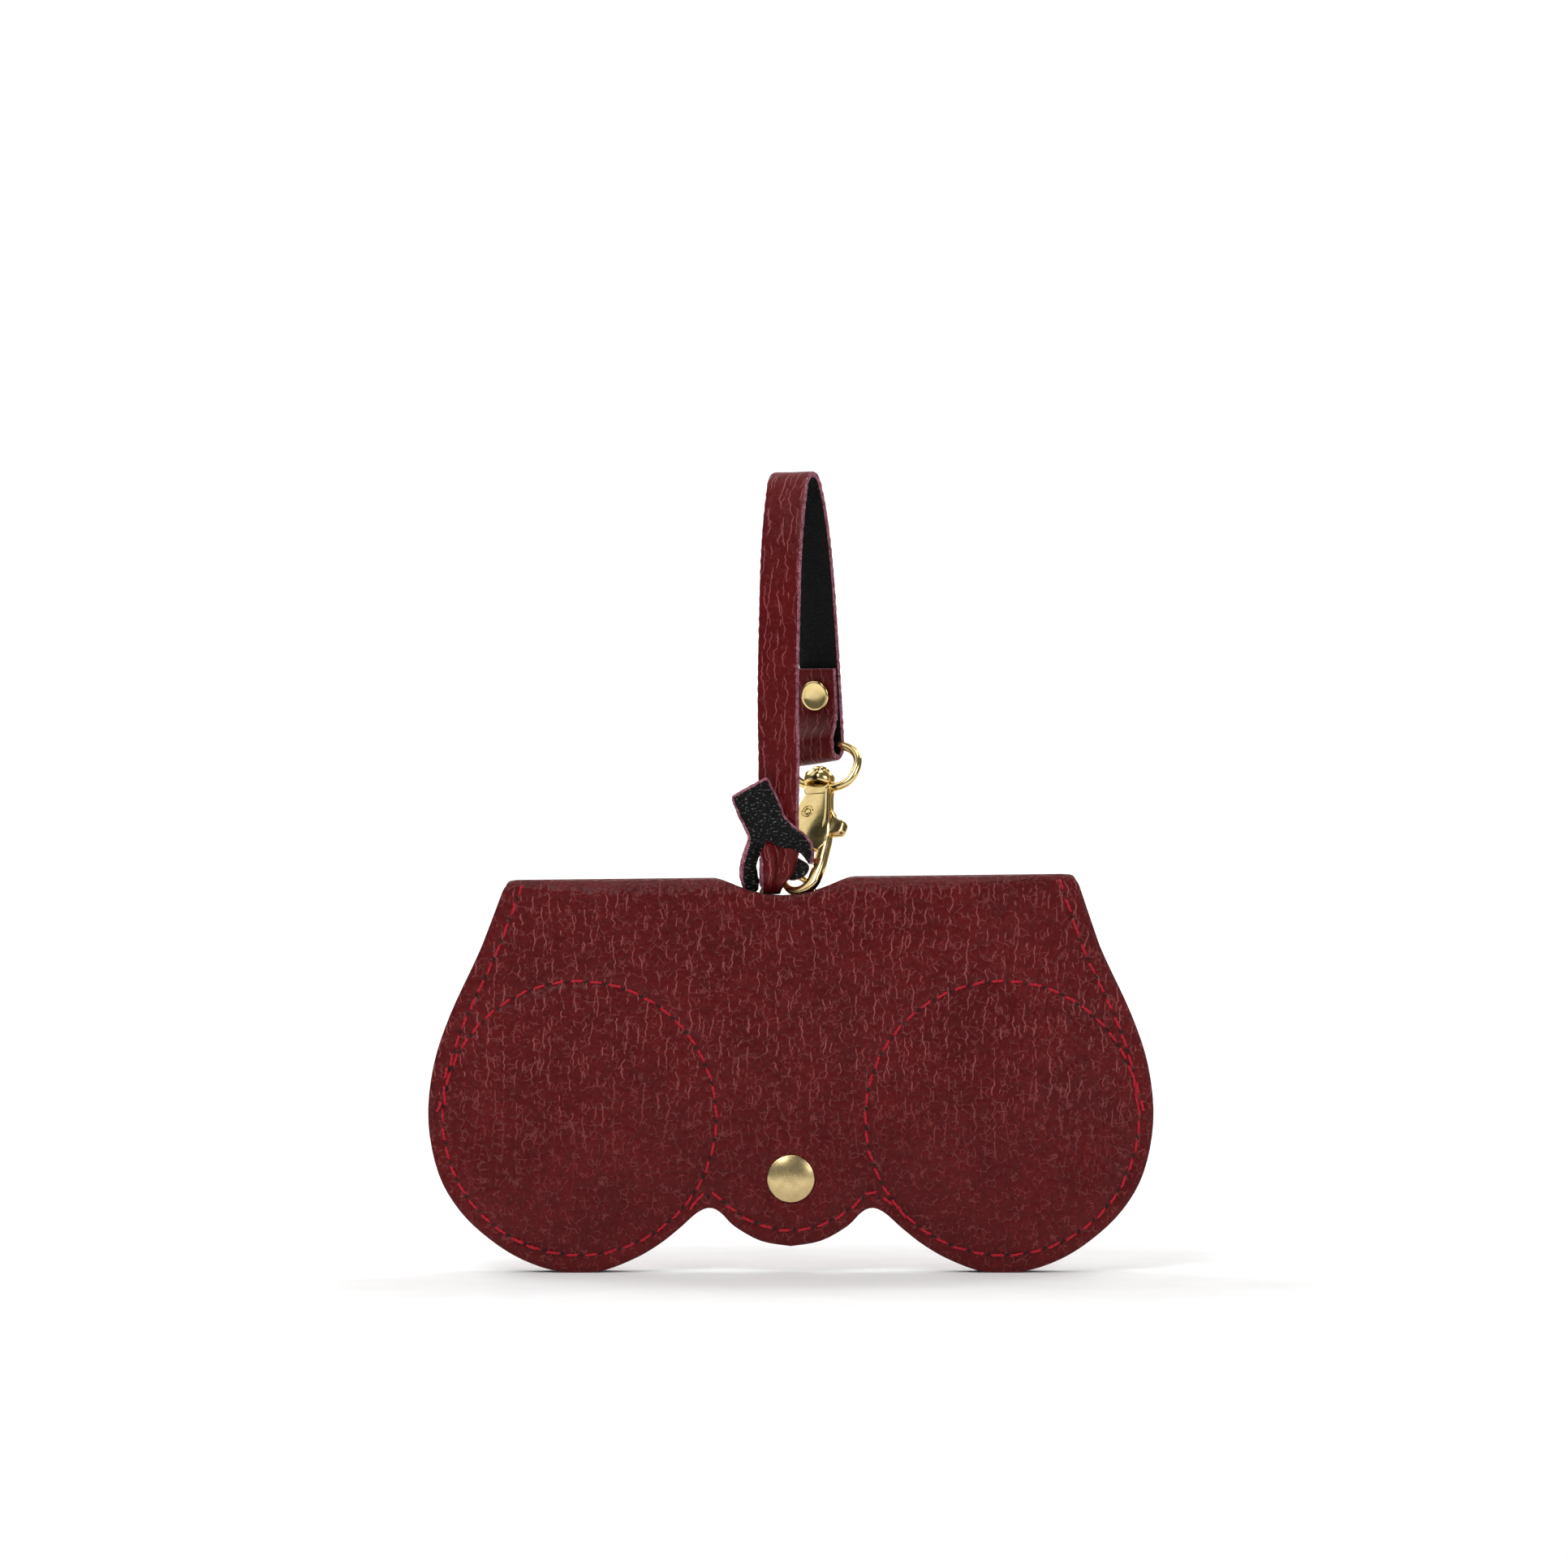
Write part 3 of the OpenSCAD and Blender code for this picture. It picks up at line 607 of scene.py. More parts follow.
def half_thickness(x, v, back):
    """How far the leather's outer face stands from the pouch's middle plane."""
    p = np.stack([x, v], 1)
    side = np.minimum(distance_to(p, SIDE_LINE), distance_to(p, mirrored(SIDE_LINE)))
    beyond = distance_to(p, np.vstack([SIDE_EDGE, SIDE_EDGE[-1:]]))
    beyond = np.minimum(beyond, distance_to(p, mirrored(SIDE_EDGE)))
    side = np.where(beyond < SIDE_INSET, 0, side)
    half = SEAM_HALF + FILLED * ease(side / FILL_RUN)
    middle = np.hypot(np.abs(x) - LENS_X, v - LENS_Z)
    bulge = np.clip(1 - (middle / (LENS_R - 1)) ** 2, 0, 1)
    half = half + np.where(back, 0.25, 0.75) * bulge * ease(side / 12)
    edge = distance_to(p, HALF_OUTLINE)
    edge = np.minimum(edge, distance_to(p, mirrored(HALF_OUTLINE)))
    half = half - np.where(v < MOUTH_Z, 1, 0) * 0.9 * ease(1 - edge / 8) * ease((MOUTH_Z - v) / 8)
    half = half + ripple(x + np.where(back, 40, 0), v) * ease(side / 10)
    cap = np.hypot(x, v - SNAP_Z)
    near = np.exp(-(cap / CAP_REACH) ** 4)
    half = half * (1 - near) + OUT_Y * near
    half = half - np.where(back, 0.1, 0.22) * ease((7.2 - cap) / 1.5)
    half = half + np.where(back, 0, 0.1) * np.exp(-((cap - 8) / 1.1) ** 2)
    rivet = np.hypot(x - TAB_RIVET_X, v - TAB_RIVET_Z)
    half = half - np.where(back, 1, 0) * (half - OUT_Y) * np.exp(-(rivet / RIVET_REACH) ** 4)
    top = ease((v - BLEND_FROM) / (FOLD_Z - BLEND_FROM))
    return half * (1 - top) + fold_radius(x) * top


GROOVE_DEPTH, GROOVE_R = 0.38, 0.8


def groove(x, v, back):
    """How far the stitches pull the leather in."""
    p = np.stack([x, v], 1)
    front = np.min([distance_to(p, line) for line in FRONT_LINES], axis=0)
    behind = np.min([distance_to(p, line) for line in BACK_LINES], axis=0)
    nearest = np.where(back, behind, front)
    return GROOVE_DEPTH * np.exp(-(nearest / GROOVE_R) ** 2)


def on_sheet(x, w, depth, grooved=1.0):
    """Where a point of the sheet lies, depth under the leather's outer face."""
    x, w = np.asarray(x, float), np.asarray(w, float)
    back = w > MID_W
    v = np.where(back, 2 * MID_W - w, w)
    r = fold_radius(x)
    fold_z = POUCH_H + 0.011 * x - r
    sloped = SLOPE_FROM + (v - SLOPE_FROM) / (FOLD_Z - SLOPE_FROM) * (fold_z - SLOPE_FROM)
    z = np.where(v < SLOPE_FROM, v, sloped)
    leaf = v <= FOLD_Z
    half = half_thickness(x, np.minimum(v, FOLD_Z), back) - grooved * groove(x, v, back)
    phi = np.clip((v - FOLD_Z) / OUT_Y, 0, math.pi / 2)
    y = np.where(leaf, -(half - depth), -(r - depth) * np.cos(phi))
    z = np.where(leaf, z, fold_z + (r - depth) * np.sin(phi))
    return np.stack([x, np.where(back, -y, y), z], 1)


BEVEL = 0.18  # a cut edge's rounding
RAILS = (-1.25, -0.6, 0, 0.6, 1.25)  # rows of closer points beside a stitched line
RAIL_CELL = 0.42


def rail_points(loop, lines):
    """Points in rows beside the stitched lines, no two closer than a cell."""
    rails = np.vstack([resampled(beside(line, off), 1.0) for line in lines for off in RAILS])
    rails = rails[inside(rails, loop) & (distance_to(rails, loop, True) > 0.5)]
    chosen, seen = [], set()
    for x, y in rails:
        cell = (round(x / RAIL_CELL), round(y / RAIL_CELL))
        if all((cell[0] + i, cell[1] + j) not in seen for i in (0, -1, 1) for j in (0, -1, 1)):
            seen.add(cell)
            chosen.append([x, y])
    return chosen


def sheet_points(loop, hole, spacing, lines):
    """Triangles that fill the loop but for the hole, with closer points beside the stitched lines."""
    low, high = loop.min(0), loop.max(0)
    rows = np.arange(low[1] + spacing / 2, high[1], spacing * 0.866)
    grid = np.array([[x + (k % 2) * spacing / 2, y] for k, y in enumerate(rows)
                     for x in np.arange(low[0], high[0], spacing)])
    clear = 0.62 * spacing
    keep = inside(grid, loop) & (distance_to(grid, loop, True) > clear)
    if hole is not None:
        keep &= ~inside(grid, hole) & (distance_to(grid, hole, True) > clear)
    grid = grid[keep]
    if lines:
        away = np.min([distance_to(grid, line) for line in lines], axis=0)
        grid = np.vstack([grid[away > 1.55], rail_points(loop, lines)])
    ring = len(loop)
    points = [loop, grid] if hole is None else [loop, hole, grid]
    edges = [(i, (i + 1) % ring) for i in range(ring)]
    if hole is not None:
        edges += [(ring + i, ring + (i + 1) % len(hole)) for i in range(len(hole))]
    result = delaunay_2d_cdt([Vector(p) for p in np.vstack(points).tolist()], edges, [], 0, 1e-6)
    verts = np.array([list(v) for v in result[0]])
    tris = np.array([f for f in result[2]])
    middle = verts[tris].mean(1)
    good = inside(middle, loop)
    if hole is not None:
        good &= ~inside(middle, hole)
    return verts, tris[good], result[3]


def where_leaves_meet(loop):
    return np.abs(loop[:, 1] - LEAVES_MEET) <= 1e-6


def flat_outline(loop):
    """A sheet's outline less its rounded edge, which the line where two leaves meet does not have."""
    met = where_leaves_meet(loop)
    ring = inset(loop, BEVEL)
    ring[met] = loop[met]
    for end in np.flatnonzero(met & ~(np.roll(met, 1) & np.roll(met, -1))):
        ring[end, 0] -= np.sign(loop[end, 0]) * BEVEL
    return ring


def sheet_solid(name, loop, hole, depths, spacing, lines, materials, place):
    """A sheet with thickness: its outer face, a rounded cut edge and its inner face."""
    opening = None if hole is None else inset(hole, -BEVEL)
    verts, tris, origin = sheet_points(flat_outline(loop), opening, spacing, lines)
    count = len(verts)
    ring_index = {source: new for new, sources in enumerate(origin) for source in sources}
    points = [place(verts[:, 0], verts[:, 1], depth) for depth in depths]
    flat = [verts, verts]
    faces = tris.tolist() + (tris[:, ::-1] + count).tolist()
    slots = [0] * len(tris) + [1] * len(tris)
    step = (depths[1] - depths[0]) * 0.2
    total, start = 2 * count, 0
    for full in [loop] if hole is None else [loop, hole]:
        n = len(full)
        met = where_leaves_meet(full)
        top = [ring_index[start + i] for i in range(n)]
        rows = [top, list(range(total, total + n)), list(range(total + n, total + 2 * n)),
                [t + count for t in top]]
        for upper, lower in zip(rows[:-1], rows[1:]):
            for i in range(n):
                k = (i + 1) % n
                if not (met[i] and met[k]):
                    faces.append([upper[i], lower[i], lower[k], upper[k]])
                    slots.append(2)
        points += [place(full[:, 0], full[:, 1], depth) for depth in (depths[0] + step, depths[1] - step)]
        flat += [full, full]
        total += 2 * n
        start += n
    return make_outward(piece_from(name, np.vstack(points), faces, materials, slots, np.vstack(flat)))


def bends_with_lip(piece):
    """Bakes the piece's placement into its mesh; nothing here makes it bend at the mouth's line."""
    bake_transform(piece)


def pouch_leather():
    back_lines = [over_fold(line) for line in BACK_LINES]
    front = sheet_solid("pouch_front_leather", leaf_loop(SHEET_LOOP, False), NOTCH_LOOP, (0, LEATHER_T), 1.25,
                        FRONT_LINES + back_lines, [LEATHER, FLESH, POUCH_CUT], on_sheet)
    bends_with_lip(front)
    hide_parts("fold_leather", "front_leather", "lip_leather", "side_seams")
    back = sheet_solid("pouch_back_leather", leaf_loop(SHEET_LOOP, True), None, (0, LEATHER_T), 1.25,
                       back_lines, [LEATHER, FLESH, POUCH_CUT], on_sheet)
    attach(back, "pouch")
    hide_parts("back_leather")


LINING_INSET, LINING_GAP, LINING_T = 0.7, 0.05, 0.6


def pouch_lining():
    def place(x, w, depth):
        return on_sheet(x, w, depth, 0.0)
    loop, depths = inset(SHEET_LOOP, LINING_INSET), (LEATHER_T + LINING_GAP, LEATHER_T + LINING_T)
    front = sheet_solid("pouch_front_lining", leaf_loop(loop, False), inset(NOTCH_LOOP, -0.5), depths, 2.6,
                        [], [LINING] * 3, place)
    bends_with_lip(front)
    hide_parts("fold_lining", "front_lining", "lip_lining")
    back = sheet_solid("pouch_back_lining", leaf_loop(loop, True), None, depths, 2.6, [], [LINING] * 3,
                       place)
    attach(back, "pouch")
    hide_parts("back_lining")


# ---------------------------------------------------------------- thread
def surface_at(x, w):
    """Points on the pouch's outer face and their outward normals."""
    e = 0.15
    here = on_sheet(x, w, 0)
    dx = on_sheet(x + e, w, 0) - on_sheet(x - e, w, 0)
    dw = on_sheet(x, w + e, 0) - on_sheet(x, w - e, 0)
    return here, unit(np.cross(dx, dw))


STITCH_PITCH = 4.4
STITCH_L = 3.25
PLY_R, UNDER_R = 0.22, 0.24
PLY_TURNS, PLY_OFF = 1.35, 0.14  # a stitch's twist, and each ply's distance from its middle


def stitch_places(line, closed=False):
    """The middle and direction of each stitch along a line."""
    line = resampled(line, 0.5, closed)
    if closed:
        line = np.vstack([line, line[:1]])
    run = run_along(line)
    count = int(run[-1] / STITCH_PITCH)
    at = (np.arange(count) + 0.5) * run[-1] / count
    middle = np.stack([np.interp(at, run, line[:, k]) for k in (0, 1)], 1)
    ahead = np.stack([np.interp(at + 0.3, run, line[:, k]) for k in (0, 1)], 1)
    return middle, unit(ahead - middle)


def to_sheet_w(w, back):
    """Heights above the fold's start follow the fold, on either leaf."""
    v = 2 * MID_W - w if back else w
    v = to_sheet(np.minimum(v, POUCH_H - 0.05))
    return 2 * MID_W - v if back else v


def stitch_paths(middles, directions, length, lift, skew, back=False):
    """Two plies a stitch, twisted round each other, that come up out of the leather and go back in."""
    threads = []
    s = np.linspace(-0.5, 0.5, 11)
    for k, (c, d) in enumerate(zip(middles, directions)):
        jitter = skew * (0.6 + 0.4 * math.sin(3.7 * k + 1))
        angle = math.atan2(d[1], d[0]) + jitter
        t = np.array([math.cos(angle), math.sin(angle)])
        reach = length * (1 + 0.06 * math.sin(2.3 * k))
        x = c[0] + t[0] * s * reach
        v = c[1] + t[1] * s * reach
        w = 2 * MID_W - v if back else v
        here, normal = surface_at(x, to_sheet_w(w, back))
        rise = lift - 1.1 * np.abs(2 * s) ** 6
        side = unit(np.cross(normal, np.gradient(here, axis=0)))
        for ply in (0, math.pi):
            turn = 2 * math.pi * PLY_TURNS * s + ply + k
            around = PLY_OFF * (np.cos(turn)[:, None] * side + np.sin(turn)[:, None] * normal)
            threads.append((here + normal * rise[:, None] + around, normal))
    return threads


def hole_paths(middles, directions):
    """The dark loop of the under thread that shows between two stitches."""
    threads = []
    s = np.linspace(-0.5, 0.5, 5)
    between = (middles[:-1] + middles[1:]) / 2
    for k, (c, d) in enumerate(zip(between, directions[:-1])):
        angle = math.atan2(d[1], d[0]) + 0.9 + 0.3 * math.sin(5.1 * k)
        x = c[0] + math.cos(angle) * s * 1.3
        v = c[1] + math.sin(angle) * s * 1.3
        here, normal = surface_at(x, to_sheet_w(v, False))
        rise = 0.1 - 0.35 * (2 * s) ** 2
        threads.append((here + normal * rise[:, None], normal))
    return threads


# Back-tacks, the short stitches sewn over the ends of the seams: x, height and angle
TACKS = [[-63.5, 7.3, -0.5], [-60.6, 5.9, -0.4], [-82.3, 38.6, 1.2], [-81.3, 42.2, 1.45], [82.3, 38.8, 1.75],
         [81.2, 43, 1.65], [-22.8, 15.6, 0.9], [26, 13.6, -0.9], [-80.8, 46.5, 1.4], [24.4, 15.9, -1.0]]


def thread_piece(name, threads, radius, material):
    points, faces = tubes(threads, radius)
    return piece_from(name, points, faces, [material])


def stitches():
    lines = [(SIDE_LINE, False), (mirrored(SIDE_LINE), False), (LENS_LINE[:-1], True),
             (mirrored(LENS_LINE[:-1])[::-1], True), (NOSE_LINE, False)]
    red, dark, behind = [], [], []
    for line, closed in lines:
        middles, directions = stitch_places(line, closed)
        red += stitch_paths(middles, directions, STITCH_L, 0.26, 0.14)
        dark += hole_paths(middles, directions)
    for x, z, angle in TACKS:
        direction = np.array([math.cos(angle), math.sin(angle)])
        red += stitch_paths([np.array([x, z])], [direction], 2.6, 0.62, 0.0)
    piece = thread_piece("red_stitches", red, PLY_R, RED_THREAD)
    bends_with_lip(piece)
    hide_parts("side_stitches", "lens_stitches", "lip_lens_stitches", "nose_stitches")
    piece = thread_piece("under_thread_loops", dark, UNDER_R, BLACK_THREAD)
    bends_with_lip(piece)
    for line in BACK_LINES:
        behind += stitch_paths(*stitch_places(line), STITCH_L + 0.5, 0.28, 0.08, back=True)
    piece = thread_piece("back_thread", behind, PLY_R, BLACK_THREAD)
    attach(piece, "pouch")
    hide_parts("back_stitches")


# ---------------------------------------------------------------- snap and rivets
def cap_profile(radius, height, rim):
    """A pressed cap: a low dome, a rounded shoulder and a rim that is rolled under."""
    dome = [[radius * 0.94 * t, height - (height - rim) * t ** 2.4] for t in np.linspace(0, 1, 14)]
    roll = [[radius * 0.985, rim - 0.07], [radius, rim * 0.55], [radius * 0.99, 0.1], [radius * 0.95, 0],
            [radius * 0.9, 0.02], [0, 0.02]]
    return dome + roll


def cap_piece(name, body, origin, out, radius, height, rim, material, node, stem=0.0):
    """A cap whose base is at origin and whose dome faces out, with its stem behind it."""
    profile = cap_profile(radius, height, rim)
    if stem:
        profile = profile[:-1] + [[1.3, 0.02], [1.3, -stem + 0.15], [1.15, -stem], [0, -stem]]
    points, faces = lathe(profile, 96)
    piece = make_outward(piece_from(name, turned_to(points, origin, (1, 0, 0), out), faces, [material]))
    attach(piece, body)
    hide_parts(node)


def snap_and_rivets():
    front, behind = (0, -1, 0), (0, 1, 0)
    cap_piece("snap_cap_dome", "lip", (0, -OUT_Y + 0.2, SNAP_Z), front, 5.55, 1.45, 0.6, SATIN, "snap_cap",
              stem=2.0)
    cap_piece("snap_back_cap", "pouch", (0, OUT_Y - 0.1, SNAP_Z), behind, 4.6, 0.95, 0.4, SATIN, "snap_post",
              stem=1.9)
    cap_piece("tab_rivet_back_cap", "pouch", (TAB_RIVET_X, OUT_Y - 0.1, TAB_RIVET_Z), behind, 3.3, 0.85, 0.38,
              BRASS, "tab_rivet_post", stem=1.3)
    base_y = (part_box("tab_rivet")[0].y - MIDDLE_Y) / MM + 0.8
    cap_piece("tab_rivet_cap", "pouch", (TAB_RIVET_X, base_y, TAB_RIVET_Z), front, 3.3, 0.8, 0.36, BRASS,
              "tab_rivet", stem=3.0)


# ---------------------------------------------------------------- strap
STRAP_W, STRAP_T = 10.5, 1.4
YAW = math.radians(28)
LOOP_X = -1.87
RING_Y = (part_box("d_ring")[0].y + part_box("d_ring")[1].y) / 2 / MM + HANG_Y
BEND_R = 3.4
BEND_S = (HANG_Y - RING_Y) / math.cos(YAW)
BEND_Z = HANG_Z + STRAP_T / 2 - BEND_R
FRONT_LEAN, BACK_LEAN = 16, 30
FOLD_S, CLASP_Z = 18.9, 123.4
END_R = 1.7 / 2 + 1.15 + STRAP_T / 2
END_DROP = 1.2
END_TOP = 141.7
RIVET_Z = 134.5
GRIP_Z = CLASP_Z + 1.8
HIGH_Z = 180  # the strap hangs undisturbed above this


def lean(degrees):
    """Upwards, leaning by so many degrees."""
    return np.array([math.sin(math.radians(degrees)), math.cos(math.radians(degrees))])


def strap_path():
    """The strap's middle line in its own plane of depth and height, from the slit end to the folded end."""
    bend = np.array([BEND_S, BEND_Z])
    front_top = bend + BEND_R * lean(FRONT_LEAN)[::-1] * [-1, 1]
    back_top = bend + BEND_R * lean(BACK_LEAN)[::-1]
    front = bezier([[-1.6, 96], [-4.2, 125], front_top - 30 * lean(FRONT_LEAN), front_top],
                   np.linspace(0.08, 1, 60))
    over = arc(bend, BEND_R, 180 - FRONT_LEAN - 6, BACK_LEAN + 6, 18)
    low = CLASP_Z - END_DROP
    back = bezier([back_top, back_top + 14 * lean(BACK_LEAN) * [1, -1], [FOLD_S + END_R - 2.4, 148],
                   [FOLD_S + END_R, low]], np.linspace(0, 1, 60))
    turn = arc([FOLD_S, low], END_R, -10, -170, 14)
    left = left_of(np.gradient(back, axis=0))
    opening = np.clip((RIVET_Z - 3 - back[:, 1]) / (RIVET_Z - 3 - GRIP_Z), 0, 1) ** 1.6
    gap = STRAP_T + 0.06 + (2 * END_R - STRAP_T) * opening
    rise = (back - gap[:, None] * left)[::-1]
    rise = rise[(rise[:, 1] > low + 1) & (rise[:, 1] < END_TOP)]
    return np.vstack([front, over, back, turn, rise])


def in_loop(s, z, across=0.0):
    """A point of the strap's plane, moved across it, in millimetres above the lobes."""
    s, z, across = (np.asarray(a, float) for a in (s, z, across))
    return np.stack([LOOP_X + s * math.sin(YAW) + across * math.cos(YAW),
                     RING_Y + s * math.cos(YAW) - across * math.sin(YAW), z + 0 * s], -1)


def strap_section():
    """The strap's cross-section as (across, outwards, slot): grain face, cut edge, flesh face, cut edge."""
    w, t = STRAP_W / 2, STRAP_T / 2
    face = np.linspace(-1, 1, 13)
    grain = [[a * (w - 0.25), t - 0.05 * a ** 8] for a in face]
    right = [[w - 0.04, t - 0.22], [w, 0.12], [w, -0.2], [w - 0.05, -t + 0.2]]
    flesh = [[a * (w - 0.2), -t] for a in face[::-1]]
    left = [[-x, y] for x, y in right[::-1]]
    return np.array(grain + right + flesh + left), [0] * 12 + [2] * 5 + [1] * 12 + [2] * 5


def fuzz(a, b):
    """A steady unevenness of a cut edge, in millimetres."""
    return 0.05 * np.sin(2.3 * a + 3 * b) + 0.05 * np.sin(5.1 * a + 1.7 * b) + 0.03 * np.sin(9.7 * a - 2 * b)


def ribbon(name, centre, across, outward, width, pleat, materials, sag=None, thickness=STRAP_T):
    """A strap swept along centre: width narrows it, pleat folds it into two ridges, sag drops one side."""
    section, slots = strap_section()
    section = section * [1, thickness / STRAP_T]
    rows = len(centre)
    run = run_along(centre)
    a = section[:, 0][None, :] * width[:, None]
    edge = np.abs(section[:, 0]) > STRAP_W / 2 - 0.1
    a = a + np.where(edge, np.sign(section[:, 0]) * fuzz(run[:, None], section[:, 1][None, :]), 0)
    ridges = np.abs(np.sin(section[:, 0] / STRAP_W * 2 * math.pi))
    n = section[:, 1][None, :] + pleat[:, None] * ridges[None, :]
    n = n + 0.05 * np.sin(0.21 * run)[:, None] * np.cos(section[:, 0] * 0.5)[None, :]
    points = centre[:, None] + a[..., None] * across[:, None] + n[..., None] * outward[:, None]
    if sag is not None:
        points[..., 2] += sag[:, None] * a
    faces = grid_faces(rows, len(section), True)
    slot_list = np.tile(slots, rows - 1).tolist()
    grain = np.stack(np.broadcast_arrays(section[:, 0][None, :], run[:, None]), -1).reshape(-1, 2)
    count = len(section)
    caps = [list(range(count)), list(range((rows - 1) * count, rows * count))[::-1]]
    return make_outward(piece_from(name, points.reshape(-1, 3), faces.tolist() + caps, materials,
                                   slot_list + [2, 2], grain))


# The slit end hangs on the D-ring. This is the strap's path below its straight front run, from behind
# the ring to its front.
HITCH_RUN = [[-4.6, 3.9, 96.6], [-4.6, 3.7, 93.4], [-4.6, 2.8, 90.6], [-4.5, 1.5, 89.3], [-4.5, 0.5, 88.9],
             [-4.5, -0.3, 89.3], [-4.1, -1.2, 90.9], [-3.2, -1.8, 93.6], [-2.7, -1.75, 97.2]]
# Height on the front run, and the strap's width there as a share of its full width
NARROW_Z = [88, 89.5, 91.5, 93.6, 97, 100.5, 104]
NARROW_W = [0.42, 0.44, 0.6, 0.8, 0.86, 0.95, 1]


def slide_across(path):
    """How far the strap has worked sideways along its run: right on the front run, left on the back one."""
    over = int(np.argmax(path[:, 1]))
    turn = over + int(np.argmin(path[over:, 1]))
    k = np.arange(len(path))
    front = 0.75 * ease((HIGH_Z - path[:, 1]) / 30) * ease((path[:, 1] - 102) / 20)
    back = -0.45 * ease((HIGH_Z - path[:, 1]) / 30)
    last = -0.45 - 0.45 * ease((path[:, 1] - CLASP_Z - 1) / 6)
    return np.where(k < over, front, np.where(k < turn, back, last))


BEHIND_YAW = math.radians(-22)  # how the strap faces behind the ring


def wrist_strap():
    path = resampled(strap_path(), 0.8)
    path = path[np.argmax(path[:, 1] > 101.5):]
    run = in_loop(path[:, 0], path[:, 1])
    centre = smooth_curve(HITCH_RUN + [run[0], run[3]], 5)
    low = int(np.argmax(np.linalg.norm(centre - run[0], axis=1) < 0.01))
    shift = slide_across(path)[:, None] * [math.cos(YAW), -math.sin(YAW), 0]
    centre = np.vstack([resampled(centre[:low + 1], 0.6), (run + shift)[1:]])
    front = len(centre) - len(run) + 1
    z = centre[:, 2]
    before = np.arange(len(centre)) < front + 5
    behind = np.arange(len(centre)) < int(np.argmin(z[:front]))
    yaw = np.where(before, BEHIND_YAW + math.radians(50) * ease((z - 94) / 10), YAW)
    yaw = np.where(behind, BEHIND_YAW, yaw)
    width = np.where(before, np.interp(z, NARROW_Z, NARROW_W), 1)
    width = np.where(behind, np.minimum(0.55, width), width)
    pleat = np.where(before, 1.7 * ease((104 - z) / 6) * ease((z - 88.5) / 4.5), 0)
    pleat = np.where(behind, 0.3, pleat)
    across = np.stack([np.cos(yaw), -np.sin(yaw), 0 * yaw], 1)
    outward = unit(np.cross(across, np.gradient(centre, axis=0)))
    s_of = (centre[:, 0] - LOOP_X) * math.sin(YAW) + (centre[:, 1] - RING_Y) * math.cos(YAW)
    piece = ribbon("wrist_strap", centre, across, outward, width, pleat, [STRAP_LEATHER, INNER, CUT],
                   sag=0.14 * ease((131 - z) / 6) * ease((s_of - 12) / 3))
    start, end = in_loop(BEND_S - 1.6, BEND_Z), in_loop(BEND_S + 1.6, BEND_Z)
    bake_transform(piece)
    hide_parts("strap_front", "strap_back", "strap_end")


# The slit end's tab: the outline of its flesh side, which faces forwards, and how far forwards it stands
TAB_LOOP = [[-13.7, 110.8], [-5.6, 115.3], [-3.1, 110.4], [-1.6, 106.2], [0.6, 104.0], [3.2, 102.2],
            [4.8, 99.8], [5.0, 97.6], [4.6, 95.8], [4.0, 95.0], [3.5, 95.9], [2.9, 97.0], [1.8, 98.0],
            [-0.1, 98.4], [-2.2, 99.0], [-3.9, 99.7], [-5.5, 101.0], [-6.4, 98.6], [-7.1, 97.2],
            [-7.9, 95.2], [-7.7, 93.6], [-7.2, 91.0], [-7.6, 88.6], [-9.9, 88.2], [-11.0, 90.2],
            [-11.4, 92.2], [-11.2, 94.4], [-10.7, 96.6], [-10.0, 99.0], [-9.5, 101.2], [-10.0, 102.8],
            [-10.9, 104.6], [-12.3, 107.4]]
TAB_DEPTHS = [[-13.7, 110.8, -6.2], [-5.5, 115.2, -7.2], [-9.5, 106, -3.9], [-3.1, 110.6, -5.2],
              [-1.6, 106, -5.4], [-6, 103, -4.3], [-10.4, 102.6, -5.2], [1.8, 103, -6.6], [-2, 100.5, -4.3],
              [4.2, 101.3, -5.2], [5.9, 99.4, -4.4], [6.0, 97, -3.0], [5.0, 94, -1.6], [2.9, 97.1, -1.0],
              [3.6, 95.6, 0.6], [0, 98.6, -3.8], [-9.8, 100.7, -5.9], [-10.6, 98.4, -6.3],
              [-6.8, 98.3, -2.7], [-11.2, 96.1, -6.1], [-8, 95, -1.6], [-11.6, 93.9, -5.4],
              [-7.4, 93, -1.0], [-11.6, 92, -4.4], [-11.0, 90.4, -3.0], [-8.7, 88.6, -0.7]]
INNER_LOOP = [[-1.4, 97.4], [1.4, 97.0], [2.6, 96.2], [3.8, 95.6], [4.5, 94.6], [4.0, 93.1], [2.8, 92.0],
              [0.6, 91.3], [-1.4, 91.7]]


def plate_spline(samples):
    """The thin-plate surface y(x, z) through listed depths."""
    a = np.array(samples, float)

    def kernel(r2):
        return r2 * np.log(r2 + 1e-9) / 2
    n = len(a)
    m = np.zeros((n + 3, n + 3))
    m[:n, :n] = kernel(((a[:, None, :2] - a[None, :, :2]) ** 2).sum(2)) + 0.6 * np.eye(n)
    m[:n, n:] = np.c_[np.ones(n), a[:, :2]]
    m[n:, :n] = m[:n, n:].T
    c = np.linalg.solve(m, np.r_[a[:, 2], np.zeros(3)])

    def depth(x, z):
        r2 = (x[:, None] - a[:, 0]) ** 2 + (z[:, None] - a[:, 1]) ** 2
        return kernel(r2) @ c[:n] + c[n] + c[n + 1] * x + c[n + 2] * z
    return depth


